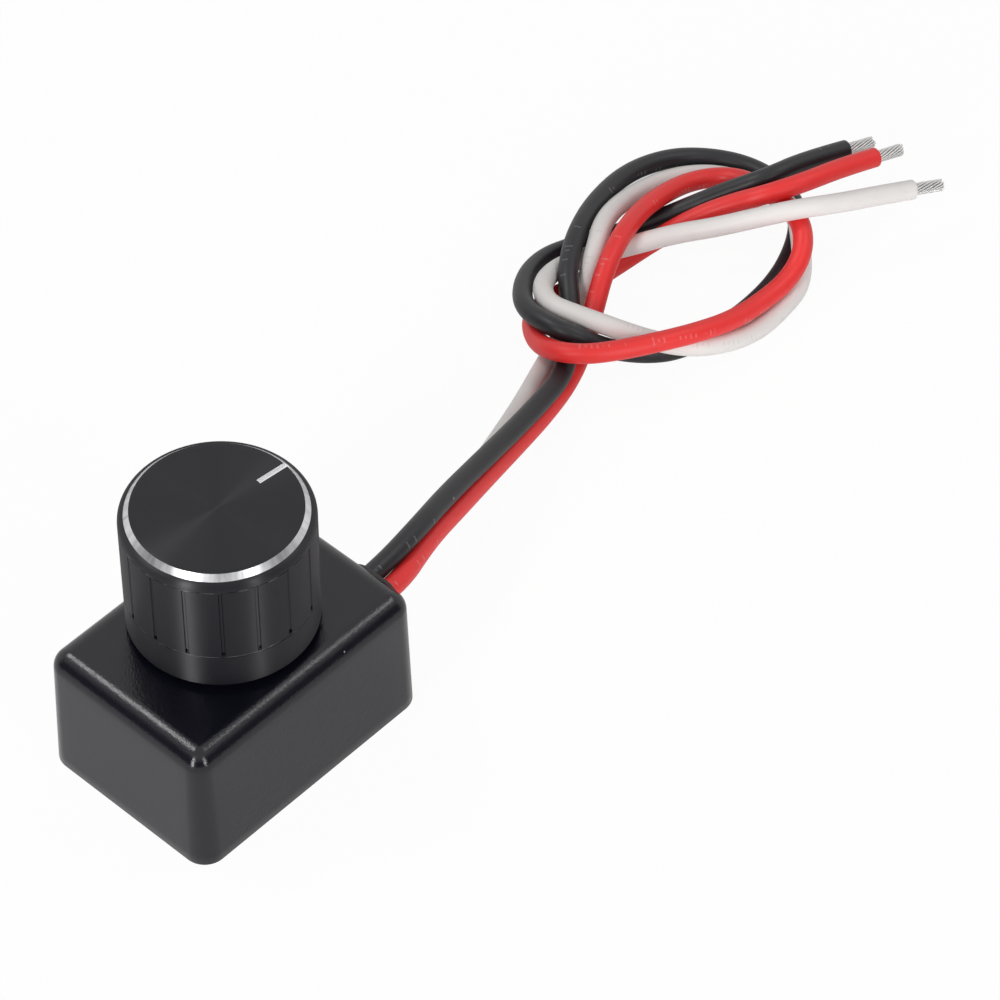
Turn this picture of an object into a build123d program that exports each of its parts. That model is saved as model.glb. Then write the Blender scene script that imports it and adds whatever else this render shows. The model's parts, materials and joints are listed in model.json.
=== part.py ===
from build123d import *
import math
import os

os.makedirs("parts", exist_ok=True)

# Rotary dimmer for a low-voltage lamp circuit: a small drafted plastic box with a fluted metal
# knob on top, and three soft wires that leave one short end and are tied in one loose overhand
# knot. Millimetres. The origin is the middle of the box's open base, +Z is up, and +X is the
# end where the wires leave.

# Box
BOX_LENGTH = 32.0
BOX_WIDTH = 23.0
BOX_HEIGHT = 16.2
BOX_DRAFT = 1.75
BOX_CORNER_RADIUS = 2.5
BOX_TOP_EDGE_RADIUS = 2.2
BOX_WALL = 1.5
BOX_ROOF = 1.8
POST_SIZE = 2.6

# Knob
AXIS_X = 0.3
AXIS_Y = 1.2
KNOB_RADIUS = 10.0
KNOB_HEIGHT = 15.5
KNOB_GAP = 0.8
KNOB_CHAMFER_WIDTH = 0.6
KNOB_CHAMFER_HEIGHT = 0.55
KNOB_SHOULDER_WIDTH = 0.6
KNOB_SHOULDER_HEIGHT = 0.85
KNOB_FACE_THICKNESS = 2.0
KNOB_GROOVE_WIDTH = 0.15
KNOB_GROOVE_DEPTH = 0.12
KNOB_BOTTOM_BAND = 4.1
KNOB_BOTTOM_CHAMFER = 0.2
KNOB_WALL = 1.7
FLUTE_COUNT = 17
FLUTE_WIDTH = 0.65
FLUTE_DEPTH = 0.5
FLUTE_END_MARGIN = 0.1
FLUTE_START_ANGLE = 14.6
FLUTE_FOOT_DEPTH = 0.8
FLUTE_FOOT_HEIGHT = 0.6
POINTER_ANGLE = -8.0
POINTER_WIDTH = 0.65
POINTER_DEPTH = 0.3
POINTER_INNER_RADIUS = 4.3

# Plastic core of the knob
CORE_SET_BACK = 0.3
CORE_HUB_RADIUS = 5.2
CORE_SKIRT_WALL = 1.2
CORE_RIB_COUNT = 6
CORE_RIB_THICKNESS = 1.0
CORE_TOP_PLATE = 1.2
NUT_RECESS_RADIUS = 6.5
RECESS_ROOF_GAP = 0.3

# Control that the knob turns
SHAFT_RADIUS = 3.0
SHAFT_CLEARANCE = 0.05
SHAFT_TOP_GAP = 1.5
SHAFT_TOP_CHAMFER = 0.4
SHAFT_FLAT_DEPTH = 1.5
FIT_CLEARANCE = 0.02
RUNNING_GAP = 0.1
BUSHING_RADIUS = 3.5
BUSHING_REACH = 6.5
BUSHING_HOLE_CLEARANCE = 0.1
FLANGE_THICKNESS = 1.0
CAN_SIDE_CLEARANCE = 0.8
CAN_WALL = 0.5
CAN_DEPTH = 6.4
CONTROL_BASE_THICKNESS = 1.0
TRACK_EDGE_CLEARANCE = 1.1
TRACK_WIDTH = 1.8
TRACK_THICKNESS = 0.2
TRACK_ANGLE = 300.0
WIPER_ANGLE = 90.0
WIPER_CLEARANCE = 0.05
WIPER_WIDTH = 1.6
WIPER_THICKNESS = 0.3
WIPER_FOOT = 0.8
ROTOR_CLEARANCE = 0.3
ROTOR_THICKNESS = 2.0
ROTOR_LIFT = 1.0
COLLAR_RADIUS = 4.4
COLLAR_THICKNESS = 0.6
TRAVEL_ANGLE = 280.0
STOP_TAB_ANGLE = 28.0
STOP_REACH = 0.7
STOP_SPARE_ANGLE = 2.5
PIN_COUNT = 3
PIN_PITCH = 3.8
PIN_OFFSET = 3.8
PIN_WIDTH = 1.2
PIN_THICKNESS = 0.6

# Nut, washer and retaining ring
WASHER_RADIUS = 5.8
WASHER_THICKNESS = 0.5
WASHER_CLEARANCE = 0.15
WASHER_TOOTH_COUNT = 8
WASHER_NOTCH_RADIUS = 4.4
WASHER_NOTCH_WIDTH = 1.0
NUT_ACROSS_FLATS = 10.0
NUT_THICKNESS = 2.0
NUT_CHAMFER = 0.3
RING_RADIUS = 4.6
RING_THICKNESS = 0.6
RING_GROOVE_DEPTH = 0.5
RING_OPENING = 3.6
RING_RELIEF_RADIUS = 0.9

# Circuit board
BOARD_CLEARANCE = 0.9
BOARD_THICKNESS = 1.0
BOARD_TO_CONTROL = 2.8
BOARD_CORNER_RADIUS = 1.0
POTTING_RECESS = 0.4
POCKET_CLEARANCE = 0.05
JOINT_RADIUS = 0.85
JOINT_TAPER = 12.0
JOINT_HEIGHT = 0.7
PIN_HOLE_RADIUS = 0.75
PIN_TAIL = 0.3

# Components on the board, each a clearance from the box's walls and posts
POST_CLEARANCE = 0.35
TRANSISTOR_WALL_CLEARANCE = 0.35
TRANSISTOR_SIZE = (6.1, 6.6, 2.2)
TRANSISTOR_TAB = (1.1, 5.3, 0.5)
TRANSISTOR_LEAD = (1.4, 0.8, 0.5)
TRANSISTOR_LEAD_PITCH = 4.6
CHIP_WALL_CLEARANCE = 1.2
CHIP_SIZE = (3.9, 4.9, 1.5)
CHIP_STANDOFF = 0.15
CHIP_LEAD_COUNT = 4
CHIP_LEAD_PITCH = 1.27
CHIP_LEAD_WIDTH = 0.4
CHIP_LEAD_REACH = 1.05
CHIP_LEAD_THICKNESS = 0.2
CAPACITOR_WALL_CLEARANCE = 0.7
CAPACITOR_RADIUS = 2.0
CAPACITOR_HEIGHT = 7.0
CAPACITOR_EDGE_RADIUS = 0.4
CAPACITOR_GROOVE_HEIGHT = 1.2
CAPACITOR_GROOVE_DEPTH = 0.25
DIODE_AXIS_OFFSET_X = 1.3
DIODE_AXIS_OFFSET_Y = 4.8
DIODE_SIZE = (4.3, 2.6, 2.1)
DIODE_EDGE = 0.3
DIODE_TAB = (0.8, 1.5, 0.3)
RESISTOR_COUNT = 4
RESISTOR_CLEARANCE = 0.75
RESISTOR_SIZE = (1.6, 0.8, 0.45)
RESISTOR_PITCH = 2.0
RESISTOR_CAP = 0.35
RESISTOR_CAP_EDGE = 0.05

# Wire outlet
OUTLET_CENTRE_Y = -5.3
OUTLET_CENTRE_Z = 11.35
OUTLET_WIDTH = 5.8
OUTLET_HEIGHT = 5.5
OUTLET_CORNER_RADIUS = 1.6
OUTLET_REACH = 0.4
OUTLET_LIP = 0.5
OUTLET_LIP_EDGE = 0.15
OUTLET_INNER_REACH = 0.6
OUTLET_WIRE_CLEARANCE = 0.05

# Wires, their stripped ends and the leads inside the box
WIRE_DIAMETER = 2.3
CONDUCTOR_DIAMETER = 1.45
CONDUCTOR_LENGTH = 3.2
LEAD_DIAMETER = 1.0
LEAD_BEND_RADIUS = 0.9
LEAD_HOLE_CLEARANCE = 0.1
OUTER_LEAD_SET_BACK = 2.6
INNER_LEAD_SET_BACK = 1.2

# Each wire's route, point by point: out of the box, down to the surface, once round in the
# overhand knot, and out to the stripped end
BLACK_ROUTE = [
    (11.0, -4.1, 12.8), (17.5, -4.0, 12.9), (24.5, -2.8, 12.6), (31.2, -0.7, 10.8), (38.3, 1.4, 8.4),
    (45.4, 3.3, 6.3), (52.0, 5.0, 4.7), (57.8, 6.6, 3.7), (62.5, 9.9, 3.4), (66.3, 13.3, 3.8),
    (69.1, 16.4, 5.2), (73.7, 19.3, 5.5), (79.9, 22.0, 4.4), (86.8, 23.4, 3.2), (92.8, 22.4, 2.1),
    (96.8, 19.6, 1.3), (99.1, 15.3, 1.2), (99.3, 10.4, 1.2), (97.4, 6.1, 1.2), (93.3, 2.9, 1.2),
    (87.5, 0.6, 1.2), (81.6, -0.1, 1.2), (75.8, 0.3, 1.2), (71.0, 1.5, 1.2), (68.0, 3.7, 1.4),
    (64.3, 5.9, 3.4), (61.6, 8.1, 5.9), (60.4, 11.4, 6.4), (61.4, 16.2, 5.3), (65.9, 20.1, 3.6),
    (71.1, 21.9, 2.0), (75.9, 20.9, 1.2), (79.8, 18.9, 1.3), (84.4, 16.9, 1.5), (88.2, 14.4, 3.0),
    (91.1, 11.3, 5.4), (94.0, 8.1, 7.5), (99.5, 6.7, 6.8), (105.8, 5.9, 5.6),
]
WHITE_ROUTE = [
    (11.0, -5.3, 10.4), (18.0, -5.0, 9.7), (25.0, -2.9, 7.5), (32.0, 0.3, 5.4), (39.0, 3.3, 3.4),
    (46.0, 6.1, 1.9), (52.8, 8.4, 1.2), (58.8, 10.6, 1.2), (64.1, 12.5, 1.2), (68.3, 14.0, 1.7),
    (70.9, 14.8, 3.6), (73.4, 16.0, 5.6), (77.9, 18.7, 5.6), (85.0, 20.8, 2.8), (91.1, 20.6, 1.3),
    (94.9, 17.8, 1.2), (96.9, 13.9, 1.2), (96.9, 9.5, 2.4), (94.6, 4.2, 3.8), (91.5, 0.8, 3.4),
    (88.4, -2.0, 1.4), (84.3, -2.8, 1.2), (79.2, -3.2, 1.4), (74.9, -2.4, 2.2), (71.2, -0.8, 3.2),
    (68.7, 1.9, 3.9), (66.6, 4.6, 5.0), (64.7, 7.4, 6.2), (63.8, 10.7, 6.1), (63.2, 14.0, 5.9),
    (65.4, 17.0, 5.2), (70.2, 18.9, 3.1), (74.2, 17.6, 2.9), (77.2, 14.9, 3.9), (82.0, 11.6, 4.8),
    (85.0, 8.1, 6.0), (88.0, 4.7, 7.6), (91.2, 1.4, 8.9), (95.7, -1.0, 8.2), (100.6, -2.9, 7.2),
    (105.1, -4.7, 6.2),
]
RED_ROUTE = [
    (11.0, -6.5, 12.8), (17.5, -6.5, 12.0), (25.9, -3.0, 9.9), (32.7, -0.9, 7.8), (39.5, 1.3, 5.6),
    (46.1, 3.3, 3.6), (53.0, 5.2, 2.0), (59.3, 7.1, 1.2), (64.4, 9.4, 1.6), (68.3, 11.4, 3.6),
    (71.2, 12.7, 5.9), (75.8, 14.5, 6.8), (82.4, 16.9, 5.1), (89.1, 17.6, 3.3), (92.9, 16.5, 2.7),
    (95.0, 13.9, 3.1), (95.1, 10.1, 4.0), (93.6, 5.4, 5.6), (91.9, 1.3, 6.4), (89.3, -1.3, 5.4),
    (85.9, -2.1, 4.0), (81.2, -2.1, 3.8), (76.0, -2.0, 4.6), (71.1, -0.9, 5.6), (67.0, 0.8, 6.1),
    (63.1, 2.9, 6.3), (59.7, 5.2, 6.5), (58.1, 8.4, 6.0), (59.5, 12.4, 3.7), (62.9, 16.3, 2.2),
    (67.6, 17.6, 1.2), (72.2, 15.8, 1.2), (76.9, 15.4, 1.2), (81.9, 14.4, 2.0), (86.2, 12.4, 3.8),
    (89.2, 9.7, 5.6), (91.3, 6.3, 7.8), (95.3, 4.2, 8.2), (101.2, 3.2, 7.2), (106.6, 1.9, 6.0),
]
WIRES = {
    "black": (BLACK_ROUTE, OUTER_LEAD_SET_BACK),
    "white": (WHITE_ROUTE, INNER_LEAD_SET_BACK),
    "red": (RED_ROUTE, OUTER_LEAD_SET_BACK),
}

# The whole turn in degrees, and the share of its shorter run that each bend of a wire takes up
FULL_TURN = 360
BEND_SHARE = 0.45

# Heights, worked out from the sizes above
ROOF_BOTTOM = BOX_HEIGHT - BOX_ROOF
FLANGE_BOTTOM = ROOF_BOTTOM - FLANGE_THICKNESS
CONTROL_BOTTOM = FLANGE_BOTTOM - CAN_DEPTH
BOARD_TOP = CONTROL_BOTTOM - BOARD_TO_CONTROL
BOARD_BOTTOM = BOARD_TOP - BOARD_THICKNESS
TRACK_BOTTOM = CONTROL_BOTTOM + CONTROL_BASE_THICKNESS
TRACK_TOP = TRACK_BOTTOM + TRACK_THICKNESS
ROTOR_BOTTOM = TRACK_TOP + ROTOR_LIFT
COLLAR_TOP = FLANGE_BOTTOM - RUNNING_GAP
BUSHING_TOP = ROOF_BOTTOM + BUSHING_REACH
WASHER_TOP = BOX_HEIGHT + WASHER_THICKNESS
RING_BOTTOM = BUSHING_TOP + RUNNING_GAP
RING_TOP = RING_BOTTOM + RING_THICKNESS
RECESS_ROOF = RING_TOP + RECESS_ROOF_GAP
SHAFT_FLAT_BOTTOM = (RING_TOP + RECESS_ROOF) / 2
KNOB_BOTTOM = BOX_HEIGHT + KNOB_GAP
KNOB_TOP = KNOB_BOTTOM + KNOB_HEIGHT
CORE_TOP = KNOB_TOP - KNOB_FACE_THICKNESS
SHAFT_TOP = CORE_TOP - SHAFT_TOP_GAP
BAND_TOP = KNOB_BOTTOM + KNOB_BOTTOM_BAND
GRIP_BOTTOM = BAND_TOP + KNOB_GROOVE_WIDTH
SHOULDER_TOP = KNOB_TOP - KNOB_CHAMFER_HEIGHT
SHOULDER_BOTTOM = SHOULDER_TOP - KNOB_SHOULDER_HEIGHT
GRIP_TOP = SHOULDER_BOTTOM - KNOB_GROOVE_WIDTH

# Sizes that follow from the ones above
DRAFT_SLOPE = math.tan(math.radians(BOX_DRAFT))
INNER_LENGTH = BOX_LENGTH - 2 * BOX_WALL
INNER_WIDTH = BOX_WIDTH - 2 * BOX_WALL
INNER_CORNER_RADIUS = BOX_CORNER_RADIUS - BOX_WALL
OUTLET_WALL_X = BOX_LENGTH / 2 - OUTLET_CENTRE_Z * DRAFT_SLOPE
OUTLET_FACE_X = OUTLET_WALL_X + OUTLET_REACH
SEAL_INNER_X = OUTLET_WALL_X - BOX_WALL - OUTLET_INNER_REACH
KNOB_CORE_RADIUS = KNOB_RADIUS - KNOB_WALL
KNOB_SHOULDER_RADIUS = KNOB_RADIUS - KNOB_SHOULDER_WIDTH
KNOB_FACE_RADIUS = KNOB_SHOULDER_RADIUS - KNOB_CHAMFER_WIDTH
KNOB_GROOVE_RADIUS = KNOB_RADIUS - KNOB_GROOVE_DEPTH
SHAFT_BORE_RADIUS = SHAFT_RADIUS + FIT_CLEARANCE
SHAFT_FLAT = SHAFT_RADIUS - SHAFT_FLAT_DEPTH
CAN_RADIUS = INNER_WIDTH / 2 - AXIS_Y - CAN_SIDE_CLEARANCE
CAN_INNER_RADIUS = CAN_RADIUS - CAN_WALL
TRACK_OUTER_RADIUS = CAN_INNER_RADIUS - TRACK_EDGE_CLEARANCE
TRACK_INNER_RADIUS = TRACK_OUTER_RADIUS - TRACK_WIDTH
TRACK_RADIUS = (TRACK_INNER_RADIUS + TRACK_OUTER_RADIUS) / 2
ROTOR_RADIUS = CAN_INNER_RADIUS - STOP_REACH - ROTOR_CLEARANCE
STOP_LUG_ANGLE = FULL_TURN - TRAVEL_ANGLE - STOP_TAB_ANGLE - 2 * STOP_SPARE_ANGLE
BOARD_LENGTH = INNER_LENGTH - 2 * BOARD_CLEARANCE
BOARD_WIDTH = INNER_WIDTH - 2 * BOARD_CLEARANCE
LEAD_HOLE_RADIUS = LEAD_DIAMETER / 2 + LEAD_HOLE_CLEARANCE
TAIL_BOTTOM = BOARD_BOTTOM - PIN_TAIL

# Places on the board, from the box's inner walls, its corner posts and the knob's axis
PIN_PLACES = [
    (AXIS_X + (index - (PIN_COUNT - 1) / 2) * PIN_PITCH, AXIS_Y - PIN_OFFSET)
    for index in range(PIN_COUNT)
]
POST_INNER_Y = INNER_WIDTH / 2 - POST_SIZE - POST_CLEARANCE
TRANSISTOR_PLACE = (
    -INNER_LENGTH / 2 + TRANSISTOR_WALL_CLEARANCE + TRANSISTOR_TAB[0] + TRANSISTOR_SIZE[0] / 2,
    POST_INNER_Y - TRANSISTOR_SIZE[1] / 2,
)
CHIP_PLACE = (
    -INNER_LENGTH / 2 + CHIP_WALL_CLEARANCE + CHIP_LEAD_REACH + CHIP_SIZE[0] / 2,
    CHIP_SIZE[1] / 2 - POST_INNER_Y,
)
CAPACITOR_PLACE = (
    INNER_LENGTH / 2 - CAPACITOR_WALL_CLEARANCE - CAPACITOR_RADIUS,
    POST_INNER_Y - CAPACITOR_RADIUS,
)
DIODE_PLACE = (AXIS_X + DIODE_AXIS_OFFSET_X, AXIS_Y + DIODE_AXIS_OFFSET_Y)
RESISTOR_COLUMN = TRANSISTOR_PLACE[0] + TRANSISTOR_SIZE[0] / 2 + TRANSISTOR_LEAD[0] + RESISTOR_CLEARANCE
RESISTOR_PLACES = [
    (
        RESISTOR_COLUMN + RESISTOR_SIZE[0] / 2,
        TRANSISTOR_PLACE[1] + (index - (RESISTOR_COUNT - 1) / 2) * RESISTOR_PITCH,
    )
    for index in range(RESISTOR_COUNT)
]
KNOB_AXIS = Axis((AXIS_X, AXIS_Y, 0), (0, 0, 1))


def axis_plane(height):
    """The level plane at a height, with its origin on the knob's axis."""
    return Plane(origin=(AXIS_X, AXIS_Y, height), x_dir=(1, 0, 0), z_dir=(0, 0, 1))


def radial_plane(angle):
    """The upright plane through the knob's axis: its x runs out from the axis and its y runs up."""
    outwards = Vector(1, 0, 0).rotate(Axis.Z, angle)
    return Plane(origin=(AXIS_X, AXIS_Y, 0), x_dir=outwards, z_dir=outwards.rotate(Axis.Z, -90))


def outlet_plane(x):
    """The upright plane across the outlet, at a distance along the box."""
    return Plane(origin=(x, OUTLET_CENTRE_Y, OUTLET_CENTRE_Z), x_dir=(0, 1, 0), z_dir=(1, 0, 0))


def board_plane(place, height=0.0):
    """The level plane over a place on the board, at a height above the board."""
    return Plane(origin=(place[0], place[1], BOARD_TOP + height), z_dir=(0, 0, 1))


def ring_sector(inner_radius, outer_radius, middle_angle, sweep):
    """Part of a flat ring about the origin."""
    with BuildSketch() as sector:
        with BuildLine():
            start = middle_angle - sweep / 2
            outer = CenterArc((0, 0), outer_radius, start, sweep)
            inner = CenterArc((0, 0), inner_radius, start, sweep)
            Line(outer @ 0, inner @ 0)
            Line(outer @ 1, inner @ 1)
        make_face()
    return sector.sketch


def shaft_section(clearance):
    """A round shaft with one flat, larger all round by a clearance."""
    with BuildSketch() as section:
        Circle(SHAFT_RADIUS + clearance)
        with Locations((0, SHAFT_FLAT + clearance)):
            Rectangle(2 * SHAFT_BORE_RADIUS, SHAFT_RADIUS, align=(Align.CENTER, Align.MIN), mode=Mode.SUBTRACT)
    return section.sketch


def inner_section(height):
    """The inside of the drafted box at a height."""
    inset = height * DRAFT_SLOPE
    with BuildSketch() as section:
        RectangleRounded(INNER_LENGTH - 2 * inset, INNER_WIDTH - 2 * inset, INNER_CORNER_RADIUS - inset)
    return section.sketch


def corner_radii(route):
    """One radius for each corner of a route, as large as the shorter of its two runs allows."""
    points = [Vector(*point) for point in route]
    radii = []
    for before, corner, after in zip(points, points[1:], points[2:]):
        run_in = corner - before
        run_out = after - corner
        turn = math.radians(run_in.get_angle(run_out))
        radii.append(BEND_SHARE * min(run_in.length, run_out.length) / math.tan(turn / 2))
    return radii


def lead_points(route, set_back):
    """A lead's three points: the wire's end in the box, the bend, and the tail under the board."""
    end = Vector(*route[0])
    bend = end + (end - Vector(*route[1])).normalized() * set_back
    return [end, bend, Vector(bend.X, bend.Y, TAIL_BOTTOM)]


LEADS = {colour: lead_points(route, set_back) for colour, (route, set_back) in WIRES.items()}
LEAD_PLACES = [(points[-1].X, points[-1].Y) for points in LEADS.values()]

# The box: a drafted shell, open below, with a hole for the control and one for the wires
with BuildPart() as housing:
    with BuildSketch():
        RectangleRounded(BOX_LENGTH, BOX_WIDTH, BOX_CORNER_RADIUS)
    extrude(amount=BOX_HEIGHT, taper=BOX_DRAFT)
    fillet(housing.faces().sort_by(Axis.Z)[-1].edges(), BOX_TOP_EDGE_RADIUS)
    with BuildSketch():
        add(inner_section(0))
    extrude(amount=ROOF_BOTTOM, taper=BOX_DRAFT, mode=Mode.SUBTRACT)
    # Corner posts that the board is pressed up against
    with BuildSketch(Plane.XY.offset(BOARD_TOP)):
        with GridLocations(INNER_LENGTH - POST_SIZE, INNER_WIDTH - POST_SIZE, 2, 2):
            Rectangle(POST_SIZE, POST_SIZE)
    extrude(amount=ROOF_BOTTOM - BOARD_TOP)
    with BuildSketch(axis_plane(ROOF_BOTTOM)):
        Circle(BUSHING_RADIUS + BUSHING_HOLE_CLEARANCE)
    extrude(amount=BOX_ROOF, mode=Mode.SUBTRACT)
    # The outlet is cut from inside the nearest post to outside the wall
    with BuildSketch(outlet_plane(OUTLET_WALL_X - BOX_WALL - POST_SIZE)):
        RectangleRounded(OUTLET_WIDTH, OUTLET_HEIGHT, OUTLET_CORNER_RADIUS)
    extrude(amount=2 * (BOX_WALL + POST_SIZE), mode=Mode.SUBTRACT)
housing.part.label = "housing"
export_step(housing.part, "parts/housing.step")

# The knob's metal shell: a turned face with a chamfer and a round shoulder, milled flutes between
# two fine grooves, and a milled pointer
with BuildPart() as knob_shell:
    with BuildSketch(radial_plane(0)):
        with BuildLine():
            Polyline(
                (KNOB_CORE_RADIUS, KNOB_BOTTOM),
                (KNOB_RADIUS - KNOB_BOTTOM_CHAMFER, KNOB_BOTTOM),
                (KNOB_RADIUS, KNOB_BOTTOM + KNOB_BOTTOM_CHAMFER),
                (KNOB_RADIUS, BAND_TOP),
                (KNOB_GROOVE_RADIUS, BAND_TOP),
                (KNOB_GROOVE_RADIUS, GRIP_BOTTOM),
                (KNOB_RADIUS, GRIP_BOTTOM),
                (KNOB_RADIUS, GRIP_TOP),
                (KNOB_GROOVE_RADIUS, GRIP_TOP),
                (KNOB_GROOVE_RADIUS, SHOULDER_BOTTOM),
                (KNOB_RADIUS, SHOULDER_BOTTOM),
            )
            TangentArc((KNOB_RADIUS, SHOULDER_BOTTOM), (KNOB_SHOULDER_RADIUS, SHOULDER_TOP), tangent=(0, 1))
            Polyline(
                (KNOB_SHOULDER_RADIUS, SHOULDER_TOP),
                (KNOB_FACE_RADIUS, KNOB_TOP),
                (0, KNOB_TOP),
                (0, CORE_TOP),
                (KNOB_CORE_RADIUS, CORE_TOP),
                (KNOB_CORE_RADIUS, KNOB_BOTTOM),
            )
        make_face()
    revolve(axis=KNOB_AXIS)
    with BuildSketch(axis_plane(GRIP_BOTTOM + FLUTE_END_MARGIN)):
        with PolarLocations(KNOB_RADIUS, FLUTE_COUNT, start_angle=FLUTE_START_ANGLE):
            Rectangle(2 * FLUTE_DEPTH, FLUTE_WIDTH)
    extrude(amount=GRIP_TOP - GRIP_BOTTOM - 2 * FLUTE_END_MARGIN, mode=Mode.SUBTRACT)
    # The deeper pocket at each flute's foot
    with BuildSketch(axis_plane(GRIP_BOTTOM + FLUTE_END_MARGIN)):
        with PolarLocations(KNOB_RADIUS, FLUTE_COUNT, start_angle=FLUTE_START_ANGLE):
            Rectangle(2 * FLUTE_FOOT_DEPTH, FLUTE_WIDTH)
    extrude(amount=FLUTE_FOOT_HEIGHT, mode=Mode.SUBTRACT)
    with BuildSketch(axis_plane(KNOB_TOP)):
        with PolarLocations(POINTER_INNER_RADIUS, 1, start_angle=POINTER_ANGLE):
            Rectangle(KNOB_RADIUS, POINTER_WIDTH, align=(Align.MIN, Align.CENTER))
    extrude(amount=-POINTER_DEPTH, mode=Mode.SUBTRACT)
knob_shell.part.label = "knob_shell"
export_step(knob_shell.part, "parts/knob_shell.step")

# The knob's moulded core: a hub on the shaft, a skirt inside the shell, and ribs between them
with BuildPart() as knob_core:
    with BuildSketch(axis_plane(KNOB_BOTTOM + CORE_SET_BACK)):
        Circle(KNOB_CORE_RADIUS)
    extrude(amount=CORE_TOP - KNOB_BOTTOM - CORE_SET_BACK)
    with BuildSketch(axis_plane(KNOB_BOTTOM)):
        Circle(NUT_RECESS_RADIUS)
    extrude(amount=RECESS_ROOF - KNOB_BOTTOM, mode=Mode.SUBTRACT)
    with BuildSketch(axis_plane(RECESS_ROOF)):
        Circle(KNOB_CORE_RADIUS - CORE_SKIRT_WALL)
        Circle(CORE_HUB_RADIUS, mode=Mode.SUBTRACT)
        with PolarLocations(0, CORE_RIB_COUNT):
            Rectangle(KNOB_CORE_RADIUS, CORE_RIB_THICKNESS, align=(Align.MIN, Align.CENTER), mode=Mode.SUBTRACT)
    extrude(amount=CORE_TOP - CORE_TOP_PLATE - RECESS_ROOF, mode=Mode.SUBTRACT)
    with BuildSketch(axis_plane(RECESS_ROOF)):
        add(shaft_section(FIT_CLEARANCE))
    extrude(amount=SHAFT_TOP - RECESS_ROOF, mode=Mode.SUBTRACT)
knob_core.part.label = "knob_core"
export_step(knob_core.part, "parts/knob_core.step")

# The control's shaft, with a flat for the knob, a groove for the ring and a collar below the flange
with BuildPart() as control_shaft:
    with BuildSketch(axis_plane(ROTOR_BOTTOM)):
        Circle(SHAFT_RADIUS)
    extrude(amount=SHAFT_TOP - ROTOR_BOTTOM)
    chamfer(control_shaft.faces().sort_by(Axis.Z)[-1].edges(), SHAFT_TOP_CHAMFER)
    with BuildSketch(axis_plane(COLLAR_TOP)):
        Circle(COLLAR_RADIUS)
    extrude(amount=-COLLAR_THICKNESS)
    with BuildSketch(axis_plane(RING_BOTTOM)):
        Circle(SHAFT_RADIUS)
        Circle(SHAFT_RADIUS - RING_GROOVE_DEPTH, mode=Mode.SUBTRACT)
    extrude(amount=RING_THICKNESS, mode=Mode.SUBTRACT)
    with BuildSketch(axis_plane(SHAFT_FLAT_BOTTOM)):
        Circle(SHAFT_RADIUS)
        add(shaft_section(0), mode=Mode.SUBTRACT)
    extrude(amount=SHAFT_TOP - SHAFT_FLAT_BOTTOM, mode=Mode.SUBTRACT)
control_shaft.part.label = "control_shaft"
export_step(control_shaft.part, "parts/control_shaft.step")

# The spring-steel ring that snaps into the shaft's groove
with BuildPart() as retaining_ring:
    with BuildSketch(axis_plane(RING_BOTTOM)):
        Circle(RING_RADIUS)
        Circle(SHAFT_RADIUS - RING_GROOVE_DEPTH, mode=Mode.SUBTRACT)
        Rectangle(RING_RADIUS, RING_OPENING, align=(Align.MIN, Align.CENTER), mode=Mode.SUBTRACT)
        with Locations((0, SHAFT_RADIUS), (0, -SHAFT_RADIUS)):
            Circle(RING_RELIEF_RADIUS, mode=Mode.SUBTRACT)
    extrude(amount=RING_THICKNESS)
retaining_ring.part.label = "retaining_ring"
export_step(retaining_ring.part, "parts/retaining_ring.step")

# The control's bushing and flange, its metal can and its moulded base
with BuildPart() as control_bushing:
    with BuildSketch(axis_plane(FLANGE_BOTTOM)):
        Circle(CAN_RADIUS)
    extrude(amount=FLANGE_THICKNESS)
    with BuildSketch(axis_plane(ROOF_BOTTOM)):
        Circle(BUSHING_RADIUS)
    extrude(amount=BUSHING_REACH)
    with BuildSketch(axis_plane(FLANGE_BOTTOM)):
        Circle(SHAFT_RADIUS + SHAFT_CLEARANCE)
    extrude(amount=BUSHING_TOP - FLANGE_BOTTOM, mode=Mode.SUBTRACT)
control_bushing.part.label = "control_bushing"
export_step(control_bushing.part, "parts/control_bushing.step")

with BuildPart() as control_can:
    with BuildSketch(axis_plane(CONTROL_BOTTOM)):
        Circle(CAN_RADIUS)
        Circle(CAN_INNER_RADIUS, mode=Mode.SUBTRACT)
    extrude(amount=CAN_DEPTH)
    # The lug that stops the rotor's tab at both ends of its travel
    with BuildSketch(axis_plane(ROTOR_BOTTOM)):
        add(ring_sector(CAN_INNER_RADIUS - STOP_REACH, CAN_RADIUS - CAN_WALL / 2, WIPER_ANGLE, STOP_LUG_ANGLE))
    extrude(amount=ROTOR_THICKNESS)
control_can.part.label = "control_can"
export_step(control_can.part, "parts/control_can.step")

with BuildPart() as control_base:
    with BuildSketch(axis_plane(CONTROL_BOTTOM)):
        Circle(CAN_INNER_RADIUS - FIT_CLEARANCE)
    extrude(amount=CONTROL_BASE_THICKNESS)
    with BuildSketch(Plane.XY.offset(CONTROL_BOTTOM)):
        with Locations(*PIN_PLACES):
            Rectangle(PIN_WIDTH, PIN_THICKNESS)
    extrude(amount=CONTROL_BASE_THICKNESS, mode=Mode.SUBTRACT)
control_base.part.label = "control_base"
export_step(control_base.part, "parts/control_base.step")

# The resistive track, open opposite the middle of the travel
with BuildPart() as resistive_track:
    with BuildSketch(axis_plane(TRACK_BOTTOM)):
        add(ring_sector(TRACK_INNER_RADIUS, TRACK_OUTER_RADIUS, WIPER_ANGLE, TRACK_ANGLE))
    extrude(amount=TRACK_THICKNESS)
resistive_track.part.label = "resistive_track"
export_step(resistive_track.part, "parts/resistive_track.step")

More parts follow.
